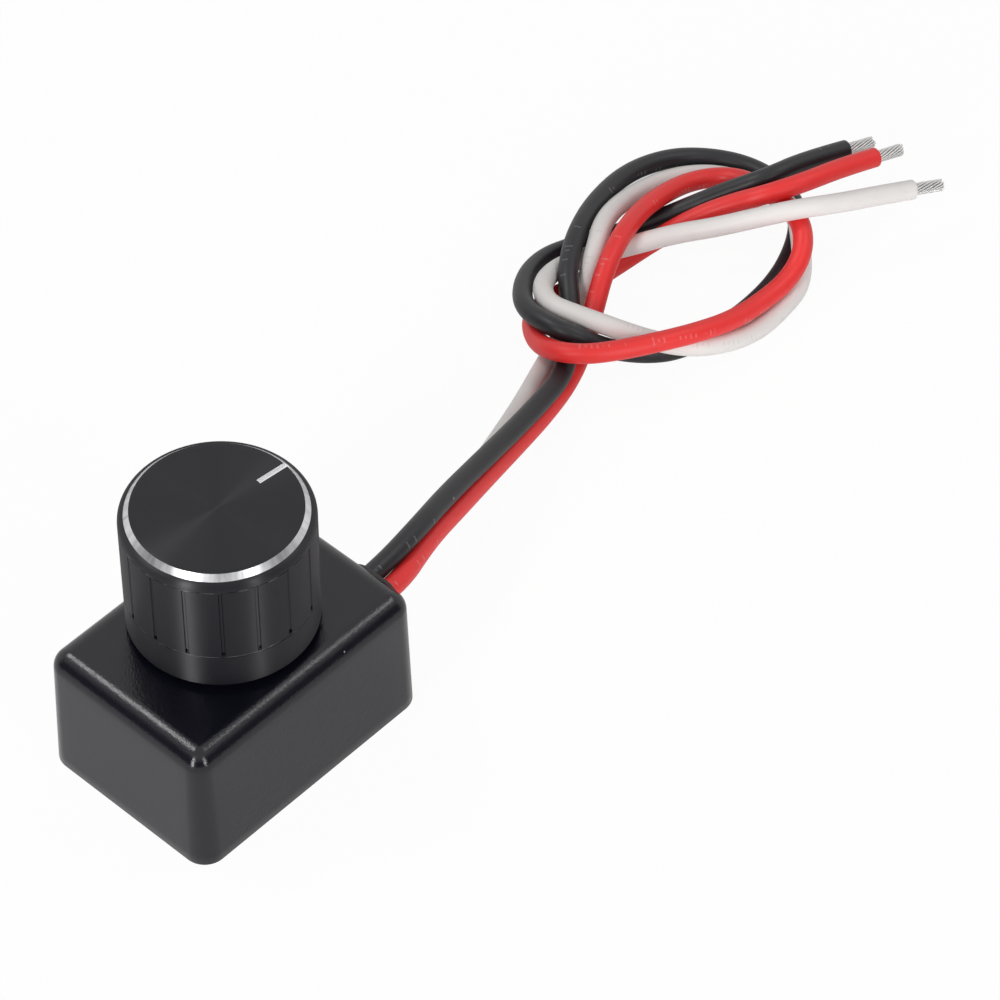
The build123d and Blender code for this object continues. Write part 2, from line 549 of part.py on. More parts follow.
# The control's pins, from the track down through the board
for index, place in enumerate(PIN_PLACES, start=1):
    with BuildPart() as control_pin:
        with BuildSketch(Plane.XY.offset(TAIL_BOTTOM)):
            with Locations(place):
                Rectangle(PIN_WIDTH, PIN_THICKNESS)
        extrude(amount=TRACK_BOTTOM - TAIL_BOTTOM)
    control_pin.part.label = f"control_pin_{index}"
    export_step(control_pin.part, f"parts/control_pin_{index}.step")

# The rotor on the shaft's foot, with its stop tab, and the sprung wiper below it
with BuildPart() as control_rotor:
    with BuildSketch(axis_plane(ROTOR_BOTTOM)):
        Circle(ROTOR_RADIUS)
        add(ring_sector(TRACK_INNER_RADIUS, ROTOR_RADIUS + STOP_REACH, WIPER_ANGLE + 180, STOP_TAB_ANGLE))
        Circle(SHAFT_BORE_RADIUS, mode=Mode.SUBTRACT)
    extrude(amount=ROTOR_THICKNESS)
control_rotor.part.label = "control_rotor"
export_step(control_rotor.part, "parts/control_rotor.step")

with BuildPart() as wiper:
    foot_height = TRACK_TOP + WIPER_CLEARANCE
    with BuildSketch(radial_plane(WIPER_ANGLE)):
        with BuildLine():
            Polyline(
                (SHAFT_BORE_RADIUS, ROTOR_BOTTOM),
                (TRACK_OUTER_RADIUS, ROTOR_BOTTOM),
                (TRACK_RADIUS + WIPER_FOOT / 2, foot_height),
                (TRACK_RADIUS - WIPER_FOOT / 2, foot_height),
                (TRACK_OUTER_RADIUS - 2 * WIPER_THICKNESS, ROTOR_BOTTOM - WIPER_THICKNESS),
                (SHAFT_BORE_RADIUS, ROTOR_BOTTOM - WIPER_THICKNESS),
                close=True,
            )
        make_face()
    extrude(amount=WIPER_WIDTH / 2, both=True)
wiper.part.label = "wiper"
export_step(wiper.part, "parts/wiper.step")

# The nut and the toothed washer that clamp the control to the box's roof
with BuildPart() as lock_washer:
    with BuildSketch(axis_plane(BOX_HEIGHT)):
        Circle(WASHER_RADIUS)
        Circle(BUSHING_RADIUS + WASHER_CLEARANCE, mode=Mode.SUBTRACT)
        with PolarLocations(0, WASHER_TOOTH_COUNT):
            Rectangle(
                WASHER_NOTCH_RADIUS, WASHER_NOTCH_WIDTH, align=(Align.MIN, Align.CENTER), mode=Mode.SUBTRACT
            )
    extrude(amount=WASHER_THICKNESS)
lock_washer.part.label = "lock_washer"
export_step(lock_washer.part, "parts/lock_washer.step")

with BuildPart() as hex_nut:
    with BuildSketch(axis_plane(WASHER_TOP)):
        RegularPolygon(NUT_ACROSS_FLATS / 2, 6, major_radius=False)
    extrude(amount=NUT_THICKNESS)
    chamfer(hex_nut.faces().sort_by(Axis.Z)[-1].edges(), NUT_CHAMFER)
    with BuildSketch(axis_plane(WASHER_TOP)):
        Circle(BUSHING_RADIUS + FIT_CLEARANCE)
    extrude(amount=NUT_THICKNESS, mode=Mode.SUBTRACT)
hex_nut.part.label = "hex_nut"
export_step(hex_nut.part, "parts/hex_nut.step")

# The circuit board
with BuildPart() as circuit_board:
    with BuildSketch(Plane.XY.offset(BOARD_BOTTOM)):
        RectangleRounded(BOARD_LENGTH, BOARD_WIDTH, BOARD_CORNER_RADIUS)
        with Locations(*PIN_PLACES):
            Circle(PIN_HOLE_RADIUS, mode=Mode.SUBTRACT)
        with Locations(*LEAD_PLACES):
            Circle(LEAD_HOLE_RADIUS, mode=Mode.SUBTRACT)
    extrude(amount=BOARD_THICKNESS)
circuit_board.part.label = "circuit_board"
export_step(circuit_board.part, "parts/circuit_board.step")

# The power transistor: a moulded body with a metal tab on one side and two leads on the other
with BuildPart() as power_transistor:
    length, width, height = TRANSISTOR_SIZE
    tab_length, tab_width, tab_thickness = TRANSISTOR_TAB
    lead_length, lead_width, lead_thickness = TRANSISTOR_LEAD
    with BuildSketch(board_plane(TRANSISTOR_PLACE)):
        Rectangle(length, width)
    extrude(amount=height)
    with BuildSketch(board_plane(TRANSISTOR_PLACE)):
        with Locations((-length / 2, 0)):
            Rectangle(2 * tab_length, tab_width)
    extrude(amount=tab_thickness)
    with BuildSketch(board_plane(TRANSISTOR_PLACE)):
        with Locations((length / 2, TRANSISTOR_LEAD_PITCH / 2), (length / 2, -TRANSISTOR_LEAD_PITCH / 2)):
            Rectangle(2 * lead_length, lead_width)
    extrude(amount=lead_thickness)
power_transistor.part.label = "power_transistor"
export_step(power_transistor.part, "parts/power_transistor.step")

# The control chip: a moulded body on two rows of gull-wing leads
with BuildPart() as control_chip:
    length, width, height = CHIP_SIZE
    with BuildSketch(board_plane(CHIP_PLACE, CHIP_STANDOFF)):
        Rectangle(length, width)
    extrude(amount=height - CHIP_STANDOFF)
    lead_y = [(index - (CHIP_LEAD_COUNT - 1) / 2) * CHIP_LEAD_PITCH for index in range(CHIP_LEAD_COUNT)]
    shoulder = height / 2
    foot = CHIP_LEAD_REACH / 2
    lead_planes = [
        Plane(origin=(CHIP_PLACE[0], CHIP_PLACE[1] + y, BOARD_TOP), x_dir=(1, 0, 0), z_dir=(0, -1, 0))
        for y in lead_y
    ]
    with BuildSketch(*lead_planes):
        with BuildLine():
            Polyline(
                (length / 2, shoulder),
                (length / 2 + CHIP_LEAD_THICKNESS, shoulder),
                (length / 2 + foot, CHIP_LEAD_THICKNESS),
                (length / 2 + CHIP_LEAD_REACH, CHIP_LEAD_THICKNESS),
                (length / 2 + CHIP_LEAD_REACH, 0),
                (length / 2 + foot - CHIP_LEAD_THICKNESS, 0),
                (length / 2, shoulder - CHIP_LEAD_THICKNESS),
                close=True,
            )
        make_face()
        mirror(about=Plane.YZ)
    extrude(amount=CHIP_LEAD_WIDTH / 2, both=True)
control_chip.part.label = "control_chip"
export_step(control_chip.part, "parts/control_chip.step")

# The electrolytic capacitor, with the rolled groove near its foot
with BuildPart() as electrolytic_capacitor:
    with BuildSketch(board_plane(CAPACITOR_PLACE)):
        Circle(CAPACITOR_RADIUS)
    extrude(amount=CAPACITOR_HEIGHT)
    fillet(electrolytic_capacitor.faces().sort_by(Axis.Z)[-1].edges(), CAPACITOR_EDGE_RADIUS)
    with BuildSketch(board_plane(CAPACITOR_PLACE, CAPACITOR_GROOVE_HEIGHT)):
        Circle(CAPACITOR_RADIUS)
        Circle(CAPACITOR_RADIUS - CAPACITOR_GROOVE_DEPTH, mode=Mode.SUBTRACT)
    extrude(amount=CAPACITOR_GROOVE_DEPTH, mode=Mode.SUBTRACT)
electrolytic_capacitor.part.label = "electrolytic_capacitor"
export_step(electrolytic_capacitor.part, "parts/electrolytic_capacitor.step")

# The surface-mounted diode
with BuildPart() as diode:
    length, width, height = DIODE_SIZE
    tab_length, tab_width, tab_thickness = DIODE_TAB
    with BuildSketch(board_plane(DIODE_PLACE)):
        Rectangle(length, width)
    extrude(amount=height)
    chamfer(diode.faces().sort_by(Axis.Z)[-1].edges(), DIODE_EDGE)
    with BuildSketch(board_plane(DIODE_PLACE)):
        Rectangle(length + 2 * tab_length, tab_width)
    extrude(amount=tab_thickness)
diode.part.label = "diode"
export_step(diode.part, "parts/diode.step")

# The chip resistors, each a thin body with thicker metal caps
for index, place in enumerate(RESISTOR_PLACES, start=1):
    length, width, height = RESISTOR_SIZE
    with BuildPart() as resistor:
        with BuildSketch(board_plane(place)):
            Rectangle(length, width)
        extrude(amount=height)
        with BuildSketch(board_plane(place)):
            with GridLocations(length - RESISTOR_CAP, 0, 2, 1):
                Rectangle(RESISTOR_CAP, width)
        extrude(amount=height + RESISTOR_CAP_EDGE)
    resistor.part.label = f"resistor_{index}"
    export_step(resistor.part, f"parts/resistor_{index}.step")

# The leads inside the box, from each wire's end down through the board
for colour, points in LEADS.items():
    with BuildPart() as lead:
        with BuildLine() as lead_path:
            FilletPolyline(*points, radius=LEAD_BEND_RADIUS)
        with BuildSketch(Plane(origin=lead_path.line @ 0, z_dir=lead_path.line % 0)):
            Circle(LEAD_DIAMETER / 2)
        sweep()
    lead.part.label = f"{colour}_lead"
    export_step(lead.part, f"parts/{colour}_lead.step")

# The solder fillets below the board, round each pin and lead
with BuildPart() as solder_joints:
    with BuildSketch(Plane.XY.offset(BOARD_BOTTOM)):
        with Locations(*PIN_PLACES, *LEAD_PLACES):
            Circle(JOINT_RADIUS)
    extrude(amount=-JOINT_HEIGHT, taper=JOINT_TAPER)
    with BuildSketch(Plane.XY.offset(TAIL_BOTTOM)):
        with Locations(*PIN_PLACES):
            Rectangle(PIN_WIDTH, PIN_THICKNESS)
        with Locations(*LEAD_PLACES):
            Circle(LEAD_DIAMETER / 2)
    extrude(amount=PIN_TAIL, mode=Mode.SUBTRACT)
solder_joints.part.label = "solder_joints"
export_step(solder_joints.part, "parts/solder_joints.step")

# The resin that closes the box below the board, with a pocket round each joint
with BuildPart() as potting_compound:
    with BuildSketch(Plane.XY.offset(POTTING_RECESS)):
        add(inner_section(POTTING_RECESS))
    extrude(amount=BOARD_BOTTOM - POTTING_RECESS, taper=BOX_DRAFT)
    with BuildSketch(Plane.XY.offset(BOARD_BOTTOM)):
        with Locations(*PIN_PLACES, *LEAD_PLACES):
            Circle(JOINT_RADIUS + POCKET_CLEARANCE)
    extrude(amount=-JOINT_HEIGHT - POCKET_CLEARANCE, mode=Mode.SUBTRACT)
potting_compound.part.label = "potting_compound"
export_step(potting_compound.part, "parts/potting_compound.step")

# The soft seal in the wire outlet: it fills the hole, and its lip lies on the drafted wall
with BuildPart() as outlet_seal:
    with BuildSketch(outlet_plane(OUTLET_FACE_X)):
        RectangleRounded(
            OUTLET_WIDTH + 2 * OUTLET_LIP, OUTLET_HEIGHT + 2 * OUTLET_LIP, OUTLET_CORNER_RADIUS + OUTLET_LIP
        )
    extrude(amount=-2 * OUTLET_REACH)
    chamfer(outlet_seal.faces().sort_by(Axis.X)[-1].edges(), OUTLET_LIP_EDGE)
    with BuildSketch(outlet_plane(SEAL_INNER_X)):
        RectangleRounded(OUTLET_WIDTH, OUTLET_HEIGHT, OUTLET_CORNER_RADIUS)
    extrude(amount=OUTLET_FACE_X - SEAL_INNER_X)
    add(housing.part, mode=Mode.SUBTRACT)
    for route, _ in WIRES.values():
        start = Vector(*route[0])
        first_run = Vector(*route[1]) - start
        with BuildSketch(Plane(origin=start, z_dir=first_run)):
            Circle(WIRE_DIAMETER / 2 + OUTLET_WIRE_CLEARANCE)
        extrude(amount=first_run.length, mode=Mode.SUBTRACT)
outlet_seal.part.label = "outlet_seal"
export_step(outlet_seal.part, "parts/outlet_seal.step")

# The wires, each with its stripped end
for colour, (route, _) in WIRES.items():
    radii = corner_radii(route)
    with BuildPart() as wire:
        with BuildLine() as wire_path:
            FilletPolyline(*route, radius=radii)
        with BuildSketch(Plane(origin=wire_path.line @ 0, z_dir=wire_path.line % 0)):
            Circle(WIRE_DIAMETER / 2)
        sweep()
    wire.part.label = f"{colour}_wire"
    export_step(wire.part, f"parts/{colour}_wire.step")

    with BuildPart() as conductor:
        with BuildSketch(Plane(origin=wire_path.line @ 1, z_dir=wire_path.line % 1)):
            Circle(CONDUCTOR_DIAMETER / 2)
        extrude(amount=CONDUCTOR_LENGTH)
    conductor.part.label = f"{colour}_conductor"
    export_step(conductor.part, f"parts/{colour}_conductor.step")

    length = sum(edge.length for edge in wire_path.edges())
    expected = math.pi * WIRE_DIAMETER**2 / 4 * length
    share = wire.part.volume / expected
    print(f"{colour} wire: length {length:.1f}, volume over section times length {share:.5f}")
    print("  radii", " ".join(f"{radius:.1f}" for radius in radii))
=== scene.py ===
"""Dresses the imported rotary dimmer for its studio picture.

A drafted black box carries a fluted metal knob. Three soft wires leave one short end, lie in one
loose overhand knot and end in stripped, twisted strands. Sizes and places are in metres, in the
part's own frame: the origin is the middle of the box's base, +Z is up, and +X is the end where
the wires leave.
"""

from __future__ import annotations

import json
import logging
import math
from collections.abc import Sequence
from dataclasses import dataclass, replace
from enum import Enum
from typing import NamedTuple

import bmesh
import bpy
import numpy as np
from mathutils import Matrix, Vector


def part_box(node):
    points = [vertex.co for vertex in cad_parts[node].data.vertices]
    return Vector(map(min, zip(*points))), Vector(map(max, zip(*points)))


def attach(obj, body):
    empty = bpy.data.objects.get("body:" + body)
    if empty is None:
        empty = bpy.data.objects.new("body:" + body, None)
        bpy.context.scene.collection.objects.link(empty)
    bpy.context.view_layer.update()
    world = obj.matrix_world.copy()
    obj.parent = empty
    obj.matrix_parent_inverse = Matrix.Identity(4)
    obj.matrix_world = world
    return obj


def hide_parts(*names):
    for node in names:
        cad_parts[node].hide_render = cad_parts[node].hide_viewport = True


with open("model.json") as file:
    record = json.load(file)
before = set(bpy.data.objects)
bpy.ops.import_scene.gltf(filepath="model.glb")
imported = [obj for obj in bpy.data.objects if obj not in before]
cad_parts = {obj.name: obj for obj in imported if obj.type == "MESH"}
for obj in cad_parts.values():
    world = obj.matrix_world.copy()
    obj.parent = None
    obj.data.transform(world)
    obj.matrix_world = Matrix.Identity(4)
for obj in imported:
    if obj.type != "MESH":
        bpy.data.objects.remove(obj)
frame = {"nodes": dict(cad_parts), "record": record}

log = logging.getLogger("rotary_dimmer")

MM = 0.001
SURFACE_MAP = "surface"
Point = tuple[float, float, float]
Colour = tuple[float, float, float]
Piece = bpy.types.Object
Material = bpy.types.Material
Socket = bpy.types.NodeSocket
WHITE = (1.0, 1.0, 1.0, 1.0)


# Meshes


def ring_surface(name: str, rings: np.ndarray, coordinates: np.ndarray) -> Piece:
    """Makes closed shells from rings of points, and closes each shell's two ends with flat faces.

    Neighbouring points of neighbouring rings make one four-sided face. The faces are turned
    outwards. The two end faces take their surface coordinates from their points' x and y.

    Args:
        name: the piece's name.
        rings: the points, shaped (shells, rings, points in a ring, 3).
        coordinates: the surface coordinates of one shell, shaped (rings, points in a ring plus one, 2).

    Returns:
        The linked object, at the origin.
    """
    shells, count, size = rings.shape[:3]
    row = np.arange(count - 1)[:, None] * size
    here = np.arange(size)[None, :]
    after = (here + 1) % size
    quads = np.stack([row + here, row + after, row + size + after, row + size + here], -1).reshape(-1, 4)
    caps = np.concatenate([here[:, ::-1], (count - 1) * size + here])
    low, high = coordinates[:-1], coordinates[1:]
    quad_uv = np.stack([low[:, :-1], low[:, 1:], high[:, 1:], high[:, :-1]], 2).reshape(-1, 2)
    faces: list[list[int]] = []
    uv: list[np.ndarray] = []
    for shell in range(shells):
        shift = shell * count * size
        faces += (quads + shift).tolist() + (caps + shift).tolist()
        uv += [quad_uv, rings[shell].reshape(-1, 3)[caps.ravel(), :2]]
    mesh = bpy.data.meshes.new(name)
    mesh.from_pydata(rings.reshape(-1, 3).tolist(), [], faces)
    layer = mesh.uv_layers.new(name=SURFACE_MAP)
    layer.data.foreach_set("uv", np.concatenate(uv).astype(np.float32).ravel())
    turned = bmesh.new()
    turned.from_mesh(mesh)
    bmesh.ops.recalc_face_normals(turned, faces=turned.faces)
    turned.to_mesh(mesh)
    turned.free()
    piece = bpy.data.objects.new(name, mesh)
    bpy.context.scene.collection.objects.link(piece)
    return piece


def surface_grid(along: np.ndarray, around: np.ndarray) -> np.ndarray:
    """The surface coordinates at each pair of a place along the piece and one round it."""
    return np.stack(np.broadcast_arrays(along[:, None], around), -1)


def prism(name: str, outline: np.ndarray, shift: Point, material: Material) -> Piece:
    """Makes a solid by carrying a closed outline along a shift.

    Args:
        name: the piece's name.
        outline: the points of the outline, one row each.
        shift: how far and which way the outline is carried.
        material: the material of the solid's faces.

    Returns:
        The linked object.
    """
    rings = np.stack([outline, outline + np.array(shift)])[None]
    steps = np.linalg.norm(np.diff(outline, axis=0, append=outline[:1]), axis=1)
    around = np.concatenate([[0.0], np.cumsum(steps)])
    along = np.array([0.0, np.linalg.norm(shift)])
    piece = ring_surface(name, rings, surface_grid(along, around))
    piece.data.materials.append(material)
    return piece


def cut_away(piece: Piece, cutters: Sequence[Piece]) -> None:
    """Cuts solids out of a piece. The new faces keep the cutters' materials, and the cutters go."""
    for cutter in cutters:
        step = piece.modifiers.new("cut", "BOOLEAN")
        step.operation = "DIFFERENCE"
        step.solver = "EXACT"
        step.material_mode = "TRANSFER"
        step.object = cutter
    bpy.context.view_layer.update()
    shaped = piece.evaluated_get(bpy.context.evaluated_depsgraph_get())
    mesh = bpy.data.meshes.new_from_object(shaped)
    piece.modifiers.clear()
    piece.data = mesh
    for cutter in cutters:
        bpy.data.objects.remove(cutter)


def shade(piece: Piece, crease_degrees: float) -> None:
    """Shades a piece smoothly, apart from creases sharper than an angle."""
    piece.data.shade_smooth()
    piece.data.set_sharp_from_angle(angle=math.radians(crease_degrees))


def report(piece: Piece) -> None:
    """Logs a finished piece and the number of its faces."""
    log.info("%s: %d faces", piece.name, len(piece.data.polygons))


# Node groups and finishes

# A Mix node's sockets for colours, by their places, because their names are those of its other pairs
MIX_FIRST, MIX_SECOND, MIX_RESULT = 6, 7, 2


class NodeTree:
    """A short way to add and join the nodes of one material, world or group."""

    def __init__(self, tree: bpy.types.NodeTree) -> None:
        """Starts from an empty tree."""
        self.tree = tree
        tree.nodes.clear()

    def add(self, kind: str, *inputs: object, **settings: object) -> bpy.types.Node:
        """Adds a node, sets its properties and fills its inputs in order with values or sockets."""
        node = self.tree.nodes.new(kind)
        for key, value in settings.items():
            setattr(node, key, value)
        for socket, value in zip(node.inputs, inputs):
            self.feed(socket, value)
        return node

    def feed(self, socket: Socket, value: object) -> None:
        """Joins a socket to another one, or gives it a value."""
        if isinstance(value, Socket):
            self.tree.links.new(value, socket)
        elif value is not None:
            socket.default_value = value

    def fill(self, node: bpy.types.Node, inputs: dict[str, object]) -> None:
        """Fills a node's inputs by name."""
        for name, value in inputs.items():
            self.feed(node.inputs[name], value)

    def math(self, operation: str, *inputs: object, clamp: bool = False) -> Socket:
        """Adds a Math node and returns its result."""
        return self.add("ShaderNodeMath", *inputs, operation=operation, use_clamp=clamp).outputs[0]

    def mix(self, factor: object, first: object, second: object) -> Socket:
        """Mixes two colours by a factor."""
        node = self.add("ShaderNodeMix", data_type="RGBA")
        self.feed(node.inputs["Factor"], factor)
        self.feed(node.inputs[MIX_FIRST], first)
        self.feed(node.inputs[MIX_SECOND], second)
        return node.outputs[MIX_RESULT]

    def carry(self, value: object, low: float, high: float) -> Socket:
        """Carries a value from 0 to 1 over to one from low to high."""
        return self.add("ShaderNodeMapRange", value, 0.0, 1.0, low, high).outputs[0]

    def ease(self, value: object, span: tuple[float, float], low: float, high: float) -> Socket:
        """Carries a value in a span over to one from low to high, by a smooth step."""
        kind = "SMOOTHSTEP"
        return self.add("ShaderNodeMapRange", value, *span, low, high, interpolation_type=kind).outputs[0]

    def noise(self, place: object, scale: object, detail: float) -> Socket:
        """Adds a Noise Texture and returns its value."""
        return self.add("ShaderNodeTexNoise", place, None, scale, detail).outputs["Fac"]

    def place(self) -> Socket:
        """The place on the surface, in the part's own frame."""
        return self.add("ShaderNodeTexCoord").outputs["Object"]

    def surface_place(self) -> tuple[Socket, Socket]:
        """The two coordinates of the piece's own surface map."""
        chart = self.add("ShaderNodeUVMap", uv_map=SURFACE_MAP)
        parts = self.add("ShaderNodeSeparateXYZ", chart.outputs[0])
        return parts.outputs["X"], parts.outputs["Y"]


def new_group(name: str, inputs: dict[str, float], outputs: Sequence[str]) -> tuple[NodeTree, bpy.types.Node]:
    """Makes a shader node group with a Position input, named float inputs and float outputs.

    Args:
        name: the group's name.
        inputs: each float input's name and default value.
        outputs: the outputs' names.

    Returns:
        The group's tree and its input node.
    """
    tree = bpy.data.node_groups.new(name, "ShaderNodeTree")
    tree.interface.new_socket("Position", in_out="INPUT", socket_type="NodeSocketVector")
    for label, value in inputs.items():
        tree.interface.new_socket(label, in_out="INPUT", socket_type="NodeSocketFloat").default_value = value
    for label in outputs:
        tree.interface.new_socket(label, in_out="OUTPUT", socket_type="NodeSocketFloat")
    nodes = NodeTree(tree)
    return nodes, nodes.add("NodeGroupInput")


FINE_DETAIL = 2.0
COARSE_DETAIL = 4.0
COARSE_SHARE = 0.6
SPECK_REACH = 0.06
SPECK_CHANCE = 0.9


def grain_group() -> bpy.types.NodeTree:
    """The fine grain that moulded, cast and extruded surfaces share.

    The height is fine noise plus a share of coarse noise. The mottle is the coarse noise alone, and
    the speck is 1 in rare small dots, where a grain of dust lies.
    """
    name = "surface grain"
    if name in bpy.data.node_groups:
        return bpy.data.node_groups[name]
    sizes = {"Fine Scale": 6000.0, "Coarse Scale": 300.0, "Speck Scale": 350.0}
    nodes, given = new_group(name, sizes, ("Height", "Mottle", "Speck"))
    position = given.outputs["Position"]
    fine = nodes.noise(position, given.outputs["Fine Scale"], FINE_DETAIL)
    coarse = nodes.noise(position, given.outputs["Coarse Scale"], COARSE_DETAIL)
    height = nodes.math("MULTIPLY_ADD", coarse, COARSE_SHARE, fine)
    cells = nodes.add("ShaderNodeTexVoronoi", position, None, given.outputs["Speck Scale"])
    near = nodes.math("LESS_THAN", cells.outputs["Distance"], SPECK_REACH)
    chance = nodes.add("ShaderNodeSeparateColor", cells.outputs["Color"]).outputs[0]
    speck = nodes.math("MULTIPLY", near, nodes.math("GREATER_THAN", chance, SPECK_CHANCE))
    nodes.add("NodeGroupOutput", height, coarse, speck)
    return nodes.tree


RING_NOISE_STEP = 0.37
RING_WAVE_SHARE = 0.3


def ring_group() -> bpy.types.NodeTree:
    """The rings that a turning tool leaves about an upright axis through the position's origin.

    The place along the tool's path is the distance from the axis less the height. The ring height is
    a sine of that place over the pitch, plus noise that reads the same place, so that each ring is
    the same all the way round.
    """
    name = "turned rings"
    if name in bpy.data.node_groups:
        return bpy.data.node_groups[name]
    nodes, given = new_group(name, {"Pitch": 0.12 * MM}, ("Height",))
    parts = nodes.add("ShaderNodeSeparateXYZ", given.outputs["Position"])
    flat = nodes.add("ShaderNodeCombineXYZ", parts.outputs["X"], parts.outputs["Y"])
    radius = nodes.add("ShaderNodeVectorMath", flat.outputs[0], operation="LENGTH").outputs["Value"]
    place = nodes.math("SUBTRACT", radius, parts.outputs["Z"])
    turns = nodes.math("DIVIDE", place, given.outputs["Pitch"])
    wave = nodes.math("SINE", nodes.math("MULTIPLY", turns, math.tau))
    noise = nodes.add("ShaderNodeTexNoise", noise_dimensions="1D")
    nodes.fill(noise, {"W": nodes.math("MULTIPLY", turns, RING_NOISE_STEP), "Scale": 1.0})
    nodes.add("NodeGroupOutput", nodes.math("MULTIPLY_ADD", wave, RING_WAVE_SHARE, noise.outputs["Fac"]))
    return nodes.tree


@dataclass(frozen=True)
class Finish:
    """A surface finish: its colour, gloss and grain. A larger scale is a finer grain."""

    name: str
    colour: Colour
    roughness: float = 0.45
    metallic: float = 0.0
    variation: float = 0.15
    gloss_variation: float = 0.08
    bump: float = 0.25
    bump_height: float = 0.02 * MM
    fine_scale: float = 6000.0
    coarse_scale: float = 300.0
    speck: float = 0.0
    speck_colour: Colour = (0.6, 0.6, 0.6)
    specular: float = 0.5

    def build(self) -> Material:
        """Makes the material, or returns the one that was made before."""
        if self.name in bpy.data.materials:
            return bpy.data.materials[self.name]
        material = bpy.data.materials.new(self.name)
        material.use_nodes = True
        nodes = NodeTree(material.node_tree)
        grain = nodes.add("ShaderNodeGroup", node_tree=grain_group())
        scales = {"Fine Scale": self.fine_scale, "Coarse Scale": self.coarse_scale}
        nodes.fill(grain, {"Position": nodes.place(), **scales})
        limits = (1.0 - self.variation, 1.0 + self.variation)
        dark, light = ((*(share * part for part in self.colour), 1.0) for share in limits)
        colour = nodes.mix(grain.outputs["Mottle"], dark, light)
        if self.speck:
            dust = nodes.math("MULTIPLY", grain.outputs["Speck"], self.speck)
            colour = nodes.mix(dust, colour, (*self.speck_colour, 1.0))
        low, high = self.roughness - self.gloss_variation, self.roughness + self.gloss_variation
        bump = nodes.add("ShaderNodeBump")
        height = self.relief(nodes, grain.outputs["Height"])
        nodes.fill(bump, {"Strength": self.bump, "Distance": self.bump_height, "Height": height})
        shader = nodes.add("ShaderNodeBsdfPrincipled")
        nodes.fill(shader, {
            "Base Color": self.tint(nodes, colour),
            "Metallic": self.metallic,
            "Roughness": nodes.carry(grain.outputs["Mottle"], low, high),
            "Specular IOR Level": self.specular,
            "Normal": bump.outputs["Normal"],
        })
        self.polish(nodes, shader)
        nodes.add("ShaderNodeOutputMaterial", shader.outputs[0])
        return material

    def tint(self, nodes: NodeTree, colour: Socket) -> Socket:
        """Lets a finish lay a further colour over its own."""
        return colour

    def relief(self, nodes: NodeTree, height: Socket) -> Socket:
        """Lets a finish change the height that its bump reads."""
        return height

    def polish(self, nodes: NodeTree, shader: bpy.types.Node) -> None:
        """Lets a finish set more of its shader."""


@dataclass(frozen=True)
class TurnedMetal(Finish):
    """Metal turned on a lathe: rings about an upright axis, and a gloss drawn out across them."""

    axis: tuple[float, float] = (0.0, 0.0)
    pitch: float = 0.12 * MM
    ring_share: float = 0.8
    anisotropy: float = 0.8
    # Painted reflection: darker noise streaks round the axis, in the colour below, stand in for the
    # surroundings mirrored in bright metal
    painted_reflection: float = 0.0
    painted_reflection_width: float = 0.5 * MM
    painted_reflection_stretch: float = 4.0
    painted_reflection_detail: float = 3.0
    painted_reflection_span: tuple[float, float] = (0.42, 0.68)
    painted_reflection_colour: Colour = (0.2, 0.2, 0.21)
    worn_heights: tuple[float, ...] = ()
    worn_reach: float = 0.09 * MM
    worn_fall: float = 0.2
    chip_scale: float = 700.0
    chip_detail: float = 5.0
    chip_span: tuple[float, float] = (0.36, 0.6)
    worn_colour: Colour = (0.14, 0.14, 0.145)

    def tint(self, nodes: NodeTree, colour: Socket) -> Socket:
        """Lays painted reflection streaks across the rings, and chips of bare metal along each worn edge.

        A painted reflection streak is noise that reads the distance round the axis and hardly changes across
        the rings. Its darker colour stands in for dark surroundings mirrored in the metal, not for a mark on
        it.
        A chip is where noise, less the distance from the edge's height, is high.
        """
        # Painted reflection: darker streaks round the axis stand in for the surroundings mirrored in the
        # bright metal
        if self.painted_reflection:
            across, around = nodes.surface_place()
            across = nodes.math("DIVIDE", across, self.painted_reflection_stretch * self.painted_reflection_width)
            around = nodes.math("DIVIDE", around, self.painted_reflection_width)
            place = nodes.add("ShaderNodeCombineXYZ", around, across).outputs[0]
            noise = nodes.noise(place, 1.0, self.painted_reflection_detail)
            mask = nodes.add("ShaderNodeMapRange", noise, *self.painted_reflection_span, 0.0, self.painted_reflection).outputs[0]
            colour = nodes.mix(mask, colour, (*self.painted_reflection_colour, 1.0))
        if self.worn_heights:
            height = nodes.add("ShaderNodeSeparateXYZ", nodes.place()).outputs["Z"]
            chips = nodes.noise(nodes.place(), self.chip_scale, self.chip_detail)
            for edge in self.worn_heights:
                off = nodes.math("ABSOLUTE", nodes.math("SUBTRACT", height, edge))
                chance = nodes.math("MULTIPLY_ADD", off, -self.worn_fall / self.worn_reach, chips)
                mask = nodes.add("ShaderNodeMapRange", chance, *self.chip_span).outputs[0]
                colour = nodes.mix(mask, colour, (*self.worn_colour, 1.0))
        return colour

    def relief(self, nodes: NodeTree, height: Socket) -> Socket:
        """Lays the tool's rings over the grain."""
        centred = nodes.add("ShaderNodeMapping", nodes.place(), (-self.axis[0], -self.axis[1], 0.0))
        rings = nodes.add("ShaderNodeGroup", node_tree=ring_group())
        nodes.fill(rings, {"Position": centred.outputs[0], "Pitch": self.pitch})
        grain = nodes.math("MULTIPLY", height, 1.0 - self.ring_share)
        return nodes.math("MULTIPLY_ADD", rings.outputs["Height"], self.ring_share, grain)

    def polish(self, nodes: NodeTree, shader: bpy.types.Node) -> None:
        """Draws the gloss out across the rings, along the surface map's first coordinate."""
        tangent = nodes.add("ShaderNodeTangent", direction_type="UV_MAP", uv_map=SURFACE_MAP)
        nodes.fill(shader, {"Anisotropic": self.anisotropy, "Tangent": tangent.outputs[0]})


